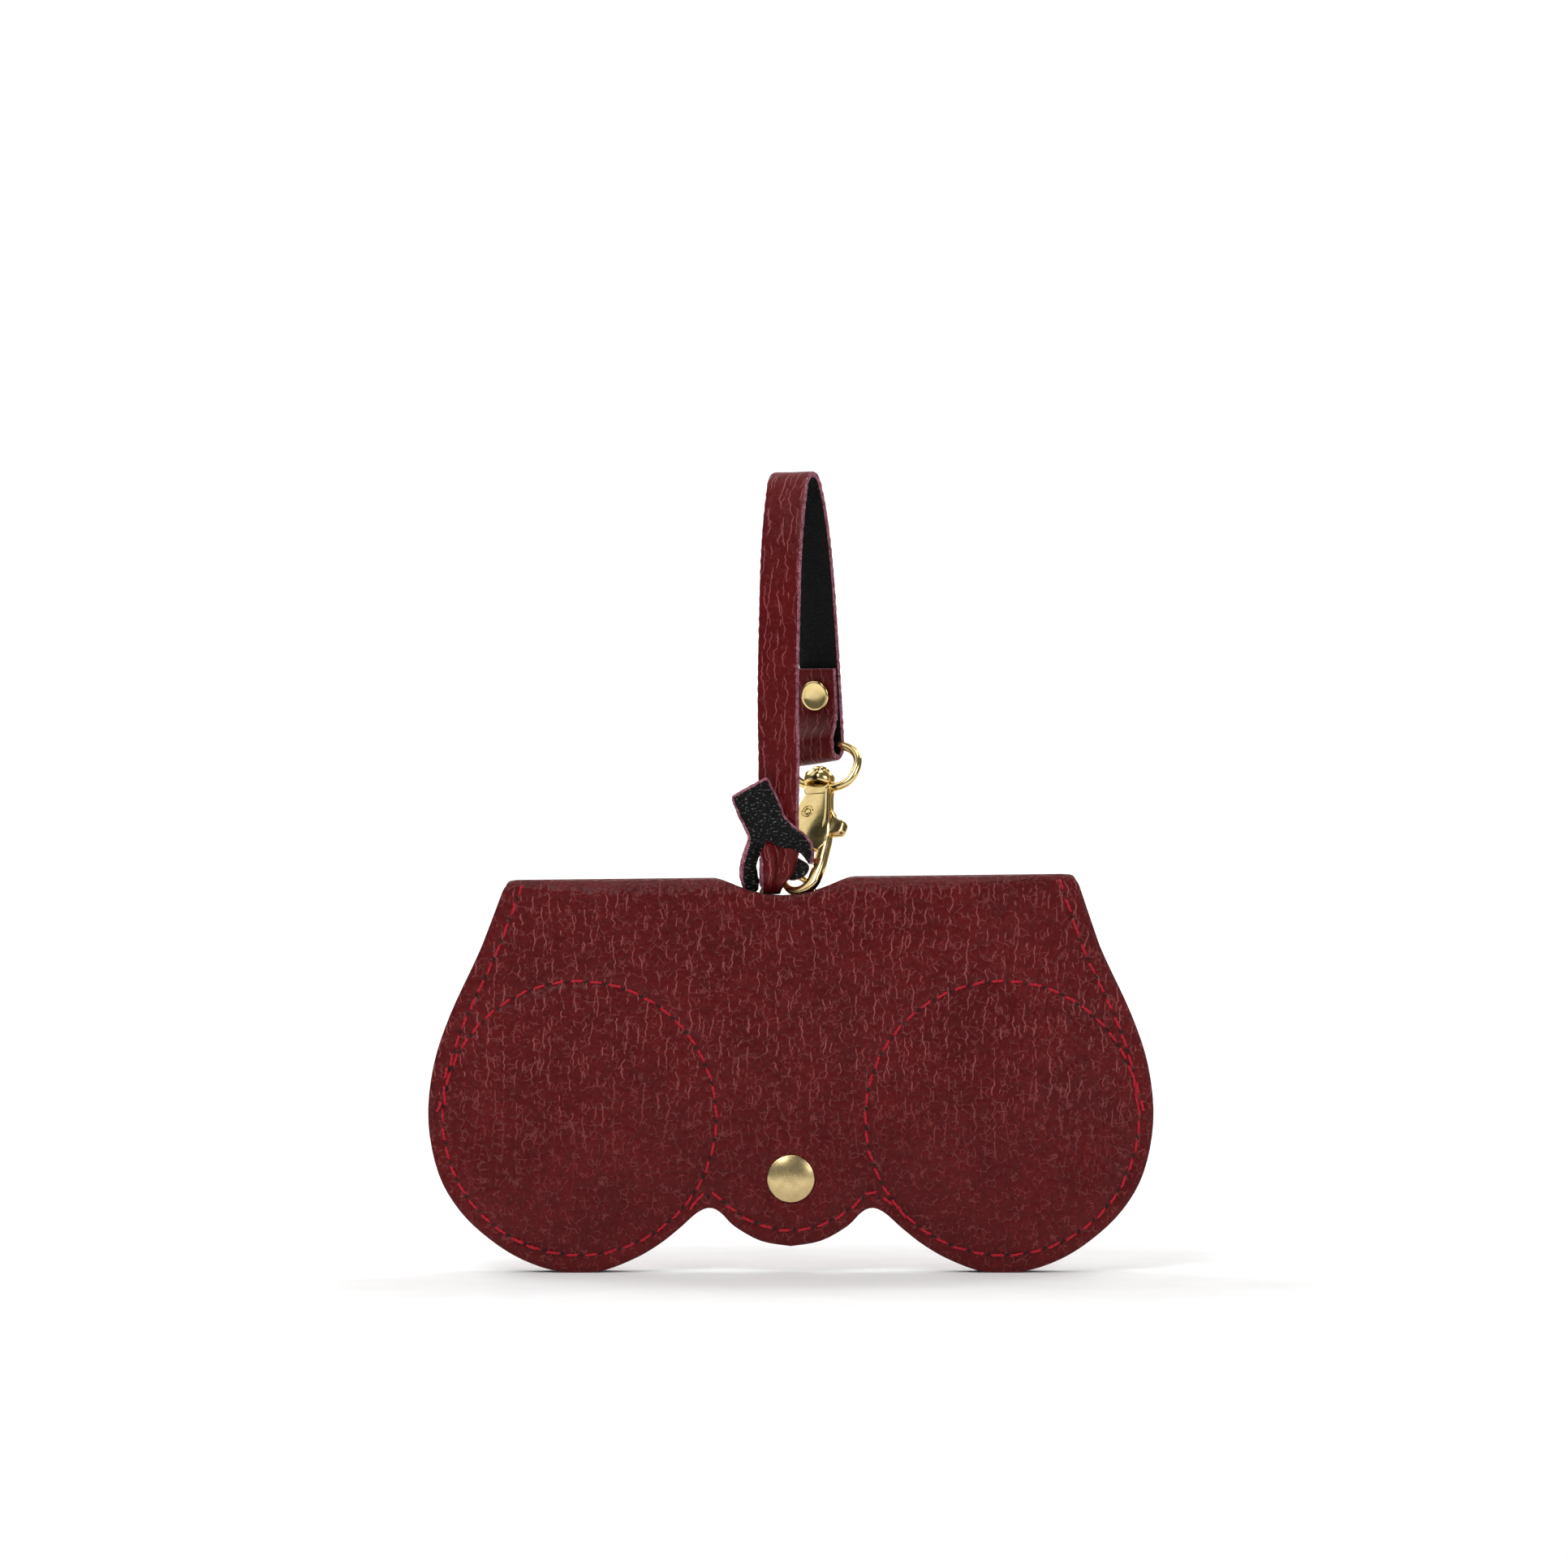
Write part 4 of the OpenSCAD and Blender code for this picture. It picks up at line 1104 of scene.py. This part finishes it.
def slab_on(surface):
    """A place function for sheet_solid: depth goes in along the surface's own normal."""
    def place(x, z, depth):
        e = 0.1
        here = np.stack([x, surface(x, z), z], 1)
        dx = np.stack([np.full(len(x), 2 * e), surface(x + e, z) - surface(x - e, z), 0 * x], 1)
        dz = np.stack([0 * x, surface(x, z + e) - surface(x, z - e), np.full(len(x), 2 * e)], 1)
        return here - unit(np.cross(dx, dz)) * depth
    return place


def hitch_tab():
    tab = resampled(rounded_corners(anticlockwise(TAB_LOOP), 0.9), 0.45, closed=True)
    wobble = 0.05 * np.sin(3.1 * tab[:, 1] + 2 * tab[:, 0]) + 0.04 * np.sin(7.3 * tab[:, 1])
    tab = inset(tab, wobble[:, None])
    piece = sheet_solid("slit_end_tab", tab, None, (0, STRAP_T), 0.7, [], [FLESH, STRAP_LEATHER, CUT],
                        slab_on(plate_spline(TAB_DEPTHS)))
    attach(piece, "strap")
    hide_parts("strap_hitch")
    inner = resampled(rounded_corners(anticlockwise(INNER_LOOP), 0.8), 0.4, closed=True)
    piece = sheet_solid("slit_end_inner_turn", inner, None, (0, 0.6), 0.6, [], [FLESH, STRAP_LEATHER, CUT],
                        slab_on(lambda x, z: -1.15 + 0.01 * (x - 1.5) ** 2 + 0 * z))
    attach(piece, "strap")


TAB_LEATHER_T = 1.2
RING_BAR_Z, RING_BAR_R = 85, 0.83


def ring_holder():
    """The leather tab inside the pouch that holds the D-ring, folded round the ring's bar and riveted."""
    low, in_y = 72.3, 2.5
    half = TAB_LEATHER_T / 2
    back, front = in_y - half - 0.05, in_y - 3 * half - 0.08
    path = np.vstack([[[back, low], [back, 82.2]], arc([RING_Y, RING_BAR_Z], RING_BAR_R + half, -20, 200, 16),
                      [[front - 0.35, 81.6], [front, 79.4], [front, low + 0.4]]])
    path = resampled(smooth_curve(path, 5), 0.5)
    centre = np.stack([np.full(len(path), TAB_RIVET_X), path[:, 0], path[:, 1]], 1)
    d = unit(np.gradient(path, axis=0))
    outward = np.stack([0 * d[:, 0], d[:, 1], -d[:, 0]], 1)
    across = np.tile([1.0, 0, 0], (len(path), 1))
    piece = ribbon("ring_holder_tab", centre, across, outward, np.full(len(path), 9 / STRAP_W),
                   np.zeros(len(path)), [STRAP_LEATHER, FLESH, CUT], thickness=TAB_LEATHER_T)
    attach(piece, "pouch")
    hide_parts("ring_tab")


RIVET_PROFILE = [[0, 0.7], [0.9, 0.71], [1.8, 0.74], [2.5, 0.82], [2.9, 0.94], [3.2, 0.98], [3.45, 0.9],
                 [3.58, 0.68], [3.62, 0.4], [3.6, 0.15], [3.45, 0.02]]


def rear_layer(path):
    """The strap's back run down to its fold."""
    top = int(np.argmax(path[:, 1]))
    low = int(np.argmin(path[top:, 1])) + top
    run = path[top:low]
    return run[(run[:, 1] < HIGH_Z) & (run[:, 1] > CLASP_Z - END_DROP)]


def strap_rivets():
    seat = STRAP_T + 0.12
    rear = rear_layer(strap_path())
    k = int(np.argmin(np.abs(rear[:, 1] - RIVET_Z - 0.39)))
    d = rear[k + 1] - rear[k - 1]
    left = np.array([-d[1], d[0]]) / np.linalg.norm(d)
    at = rear[k] - STRAP_T / 2 * left
    stem = [[1.3, 0.02], [1.3, -seat + 0.1], [1.2, -seat + 0.02], [0, -seat + 0.02]]
    for name, node, side in (("strap_rivet_cap", "strap_rivet", -1),
                             ("strap_rivet_back_cap", "strap_rivet_post", 1)):
        base = at + side * seat * left
        out = in_loop(*(side * left)) - in_loop(0, 0)
        origin = in_loop(base[0], base[1], -0.7)
        points, faces = lathe(RIVET_PROFILE + stem)
        piece = make_outward(piece_from(name, turned_to(points, origin, (0, 0, 1), out), faces, [BRASS]))
        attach(piece, "strap_tail")
        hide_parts(node)


# ---------------------------------------------------------------- clasp, in its own frame
HOOK_AT = np.array([2.6, RING_Y, 92.2])
RING_SLIDE = 1.5
CLASP_AT = in_loop(FOLD_S, CLASP_Z, RING_SLIDE)
C_UP = (CLASP_AT - HOOK_AT) / np.linalg.norm(CLASP_AT - HOOK_AT)
C_ACROSS = np.array([math.cos(YAW), -math.sin(YAW), 0])
C_U = C_ACROSS - np.dot(C_ACROSS, C_UP) * C_UP
C_U /= np.linalg.norm(C_U)
C_N = np.cross(C_UP, C_U)
BOSS_LOW, BOSS_HIGH, BOSS_R = -11.4, -8.3, 3.6
HOOK_TOP = -11.7
RING_WIRE_R = 0.98
RING_MIDDLE = [0.95, -5.85]
HOOK_T, LEVER_T, CHEEK_T = 3.0, 1.3, 0.65
PIN_AT = [-0.9, -18.7]
BOW_AT = [-0.5, -35.2]
CHEEK = [[-2.7, HOOK_TOP - 1.2], [3.4, HOOK_TOP - 1.2], [3.7, -14.4], [4.6, -19], [5.2, -24], [5.2, -27.5],
         [3.6, -29.2], [1.7, -28.4], [-0.6, -26.4], [-3.0, -23.4], [-3.6, -21.0], [-3.4, -16.6],
         [-2.2, -14.2]]
COLLAR = [[-2.75, HOOK_TOP], [3.3, HOOK_TOP], [3.55, HOOK_TOP - 0.5], [3.6, -14.3], [-2.1, -14.3],
          [-2.9, -13.2]]
GATE = [[1.2, -17.4], [-0.8, -16.5], [-2.6, -17.6], [-3.2, -20], [-4.4, -29], [-5, -33.5], [-4.2, -34.0],
        [-3.5, -33.7], [-2.2, -28.8], [-0.6, -24.6], [1.6, -23.4], [2.4, -21.5]]
THUMB = [[5.4, -24.9], [8.3, -24.9], [8.9, -24.3], [9.2, -22.2], [8.9, -21.5], [7.6, -21.3], [6.4, -20.4],
         [5.2, -18.2], [3.6, -16.8], [1.6, -16.6], [1.2, -21.6], [3.4, -23.6]]


def clasp_points(points):
    """Points given across, out of the back and up the clasp."""
    return CLASP_AT + np.asarray(points, float) @ np.stack([C_U, C_N, C_UP])


def clasp_piece(name, body, node, points, faces):
    piece = make_outward(piece_from(name, clasp_points(points), faces, [BRASS]))
    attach(piece, body)
    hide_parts(node)


def plate(loop, low, high, bevel, corner=0.5):
    """A flat cast part in u and v, from low to high in depth, with its edges rounded over."""
    ring = rounded_corners(anticlockwise(loop), corner)
    n = len(ring)
    quarter = [k / 4 * math.pi / 2 for k in range(5)]
    rows = ([inset(ring, bevel * (1 - math.sin(a))) for a in quarter]
            + [inset(ring, bevel * (1 - math.cos(a))) for a in quarter])
    depths = ([low + bevel * (1 - math.cos(a)) for a in quarter]
              + [high - bevel * (1 - math.sin(a)) for a in quarter])
    points = np.vstack([np.c_[r[:, 0], np.full(n, d), r[:, 1]] for r, d in zip(rows, depths)])
    faces = grid_faces(len(rows), n, True).tolist()
    cap = [Vector(v) for v in rows[0].tolist()]
    tris = delaunay_2d_cdt(cap, [(i, (i + 1) % n) for i in range(n)], [], 1, 1e-6)
    fill, back = tris[2], {new: src[0] for new, src in enumerate(tris[3]) if src}
    top = (len(rows) - 1) * n
    for f in fill:
        if all(v in back for v in f):
            faces.append([back[v] for v in f])
            faces.append([top + back[v] for v in f][::-1])
    return points, faces


def joined(*solids):
    """Several closed solids as one mesh."""
    points, faces, base = [], [], 0
    for p, f in solids:
        points.append(p)
        faces += [[v + base for v in face] for face in f]
        base += len(p)
    return np.vstack(points), faces


def swept(path, normals, sections):
    """Closed sections, one for each point of the path, given as (across, along the normal)."""
    side = unit(np.cross(unit(np.gradient(path, axis=0)), normals))
    rings = path[:, None] + sections[..., :1] * side[:, None] + sections[..., 1:] * normals[:, None]
    n = sections.shape[1]
    faces = grid_faces(len(path), n, True).tolist()
    faces += [list(range(n)), list(range((len(path) - 1) * n, len(path) * n))[::-1]]
    return rings.reshape(-1, 3), faces


def rounded_section(width, height, power, count=24):
    """A superellipse, width by height."""
    a = np.linspace(0, 2 * np.pi, count, endpoint=False)
    c, s = np.cos(a), np.sin(a)
    return np.stack([np.sign(c) * np.abs(c) ** (2 / power) * width / 2,
                     np.sign(s) * np.abs(s) ** (2 / power) * height / 2], 1)


def through(solid, u, v):
    """A lathe turned to run out of the front of the clasp at u and v."""
    p, f = solid
    return np.stack([u + p[:, 0], -p[:, 2], v + p[:, 1]], 1), f


def clasp_ring():
    a = np.radians(np.linspace(-90, 270, 97))[:-1]
    wide, tall, power, roll = 8.35, 5.8, 2.5, math.radians(-11)
    x = np.sign(np.cos(a)) * np.abs(np.cos(a)) ** (2 / power) * wide
    y = np.sign(np.sin(a)) * np.abs(np.sin(a)) ** (2 / power) * tall
    u = RING_MIDDLE[0] + x * math.cos(roll) - y * math.sin(roll)
    v = RING_MIDDLE[1] + x * math.sin(roll) + y * math.cos(roll)
    loop = resampled(np.stack([u, v], 1), 0.45, closed=True)
    n = len(loop)
    tangent = unit(np.roll(loop, -1, 0) - np.roll(loop, 1, 0))
    turn = np.linspace(0, 2 * np.pi, 20, endpoint=False)
    out = np.stack([tangent[:, 1], 0 * tangent[:, 0], -tangent[:, 0]], 1)
    centre = np.stack([loop[:, 0], 0 * loop[:, 0], loop[:, 1]], 1)
    rings = centre[:, None] + RING_WIRE_R * (np.cos(turn)[None, :, None] * out[:, None]
                                             + np.sin(turn)[None, :, None] * np.array([0, 1.0, 0]))
    count = len(turn)
    faces = [[i * count + j, i * count + (j + 1) % count, (i + 1) % n * count + (j + 1) % count,
              (i + 1) % n * count + j] for i in range(n) for j in range(count)]
    boss = lathe([[0, BOSS_LOW + 0.1], [2.5, BOSS_LOW + 0.1], [2.7, BOSS_LOW + 0.02], [3.0, BOSS_LOW],
                  [3.25, BOSS_LOW + 0.12], [BOSS_R, BOSS_LOW + 0.4], [BOSS_R, BOSS_HIGH - 0.45],
                  [3.28, BOSS_HIGH - 0.15], [3.0, BOSS_HIGH], [2.4, BOSS_HIGH], [0, BOSS_HIGH]], 64)
    points, faces = joined((rings.reshape(-1, 3), faces), boss)
    clasp_piece("clasp_swivel_ring", "swivel_ring", "clasp_ring", points, faces)


def clasp_hook():
    rail = [[3.2, -12.6], [3.4, -14.4], [4.0, -18], [4.5, -21.5], [4.65, -25], [4.35, -29.5], [4.1, -33]]
    turn = arc(BOW_AT, 4.05, 0, -172, 30).tolist()
    path = resampled(smooth_curve(rail + turn[1::3], 4), 0.5)
    run = np.linspace(0, 1, len(path))
    run_v = path[:, 1]
    wide = 1.5 + 1.4 * ease((-17 - run_v) / 9) - 1.4 * ease((run - 0.66) / 0.34)
    blend = ease((-22.5 - run_v) / 4.5)
    thick = 1.35 + blend * (2.7 * (1 - 0.35 * ease((run - 0.6) / 0.4)) - 1.35)
    tip = np.sqrt(np.clip((1 - run) / 0.02, 0.05, 1))
    sections = np.stack([rounded_section(w * k, t * k, 3.2) for w, t, k in zip(wide, thick, tip)])
    front = -HOOK_T / 2 - 0.12 + thick / 2
    centre = np.stack([path[:, 0], front * (1 - blend), path[:, 1]], 1)
    normals = np.tile([0.0, 1.0, 0.0], (len(path), 1))
    main = swept(centre, normals, sections)
    back = path[run_v > -26.5]
    centre = np.stack([back[:, 0], np.full(len(back), HOOK_T / 2 - 0.45), back[:, 1]], 1)
    rear = swept(centre, normals[:len(back)], np.tile(rounded_section(1.2, 1.1, 3), (len(back), 1, 1)))
    cheeks = [plate(CHEEK, side * HOOK_T / 2 - max(side, 0) * CHEEK_T,
                    side * HOOK_T / 2 + max(-side, 0) * CHEEK_T, 0.14) for side in (-1, 1)]
    collar = plate(COLLAR, -HOOK_T / 2 - 0.1, HOOK_T / 2 + 0.1, 0.28, 0.7)
    points, faces = joined(main, rear, collar, *cheeks)
    clasp_piece("clasp_hook_body", "hook", "hook_body", points, faces)
    eyelet = [[0.55, -1.3], [0.55, 0.1], [0.62, 0.3], [0.72, 0.36], [0.86, 0.3], [0.92, 0.1], [0.98, -0.2],
              [1.16, -0.2], [1.24, 0.12], [1.34, 0.22], [1.48, 0.18], [1.56, 0.0], [1.56, -0.3], [0.9, -1.35]]
    p, f = lathe([[0, -1.3]] + eyelet + [[0, -1.35]], 48)
    pins = [through((p * [1, 1, side] + [0, 0, side * HOOK_T / 2], f), *PIN_AT) for side in (1, -1)]
    points, faces = joined(*pins)
    clasp_piece("clasp_lever_pin", "hook", "lever_pin", points, faces)


def clasp_swivel():
    top = BOSS_HIGH + 0.15
    head = [[0, top + 1.95], [0.62, top + 1.95], [0.8, top + 1.85], [0.85, top + 1.5], [1.55, top + 1.42],
            [1.95, top + 1.25], [2.13, top + 0.95], [2.15, top + 0.2], [2.02, top], [1.15, top - 0.02],
            [1.15, HOOK_TOP - 0.4], [0, HOOK_TOP - 0.4]]
    points, faces = lathe(head, 56)
    clasp_piece("clasp_swivel_post", "hook", "swivel_pin", points, faces)


def clasp_lever():
    gate = plate(GATE, -LEVER_T / 2, LEVER_T / 2, 0.2)
    thumb = plate(THUMB, -LEVER_T / 2, LEVER_T / 2, 0.2)
    pad = plate([p for p in THUMB if p[0] > 5], -1.25, 1.25, 0.35, 0.6)
    points, faces = joined(gate, thumb, pad)
    clasp_piece("clasp_thumb_lever", "lever", "clasp_lever", points, faces)


# ---------------------------------------------------------------- stage, light and camera
SWEEP_Y, SWEEP_R = 0.6, 0.5  # where the paper starts to curve up, and how widely, in metres


def stage():
    """A white paper floor that curves up behind the case."""
    floor_z = LOBES_Z - 0.0001
    xs = np.linspace(-0.75, 0.75, 5)
    bend = [(SWEEP_Y + SWEEP_R * math.sin(a), floor_z + SWEEP_R - SWEEP_R * math.cos(a))
            for a in np.linspace(0.1, math.pi / 2, 12)]
    profile = [(-1.2, floor_z), (SWEEP_Y, floor_z)] + bend + [(SWEEP_Y + SWEEP_R, 2.2)]
    points = np.array([[x, y, z] for y, z in profile for x in xs])
    piece = piece_from("studio_sweep", (points - ORIGIN) / MM, grid_faces(len(profile), len(xs), False), [])
    m = Nodes("white_paper", Roughness=0.9, Specular_IOR_Level=0.1)
    speck = m.noise(m.object_map((1, 1, 1)), 60, 2)
    m.shade("Base Color", m.mix(m.ramp(speck, 0.3, 0.7, 0, 1), (0.9, 0.9, 0.895, 1), (0.93, 0.93, 0.925, 1)))
    piece.data.materials.append(m.material)


def light(name, location, target, size, power):
    data = bpy.data.lights.new(name, "AREA")
    data.shape = "RECTANGLE"
    data.size = data.size_y = size
    data.energy = power
    lamp = bpy.data.objects.new(name, data)
    lamp.location = location
    lamp.rotation_euler = (Vector(target) - Vector(location)).to_track_quat("-Z", "Y").to_euler()
    scene.collection.objects.link(lamp)


def studio():
    world = bpy.data.worlds.new("soft_white")
    world.use_nodes = True
    world.node_tree.nodes["Background"].inputs["Color"].default_value = (1, 1, 1, 1)
    world.node_tree.nodes["Background"].inputs["Strength"].default_value = 0.14
    scene.world = world
    middle = (0, 0, -0.1)
    light("key", (-0.45, -0.95, 0.8), middle, 0.6, 8.0)
    light("panel", (-0.8, -0.25, 0.85), middle, 0.9, 2.2)
    light("fill", (0.85, -0.85, 0.3), middle, 0.5, 3.0)
    light("top", (0.05, -0.05, 0.9), middle, 0.5, 2.4)
    light("backdrop_left", (-0.9, 0.75, 0.9), (0, 1.2, 0.1), 0.8, 11)
    light("backdrop_right", (0.9, 0.75, 0.9), (0, 1.2, 0.1), 0.8, 11)


def camera():
    data = bpy.data.cameras.new("camera")
    data.sensor_width = 36
    data.lens = 137.3
    data.clip_end = 20
    eye = bpy.data.objects.new("camera", data)
    eye.location = (-0.0016, MIDDLE_Y - 1.4, LOBES_Z + 0.114)
    eye.rotation_euler = (math.pi / 2, 0, 0)
    scene.collection.objects.link(eye)
    scene.camera = eye


camera()
pouch_leather()
pouch_lining()
stitches()
snap_and_rivets()
wrist_strap()
hitch_tab()
ring_holder()
strap_rivets()
clasp_ring()
clasp_swivel()
clasp_hook()
clasp_lever()
stage()
studio()
scene.view_settings.view_transform = "Standard"

METAL = {"d_ring": BRASS, "lever_spring": STEEL, "snap_stud": SATIN, "snap_socket": SATIN}
for node, material in METAL.items():
    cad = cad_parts[node]
    cad.data.materials.clear()
    cad.data.materials.append(material)
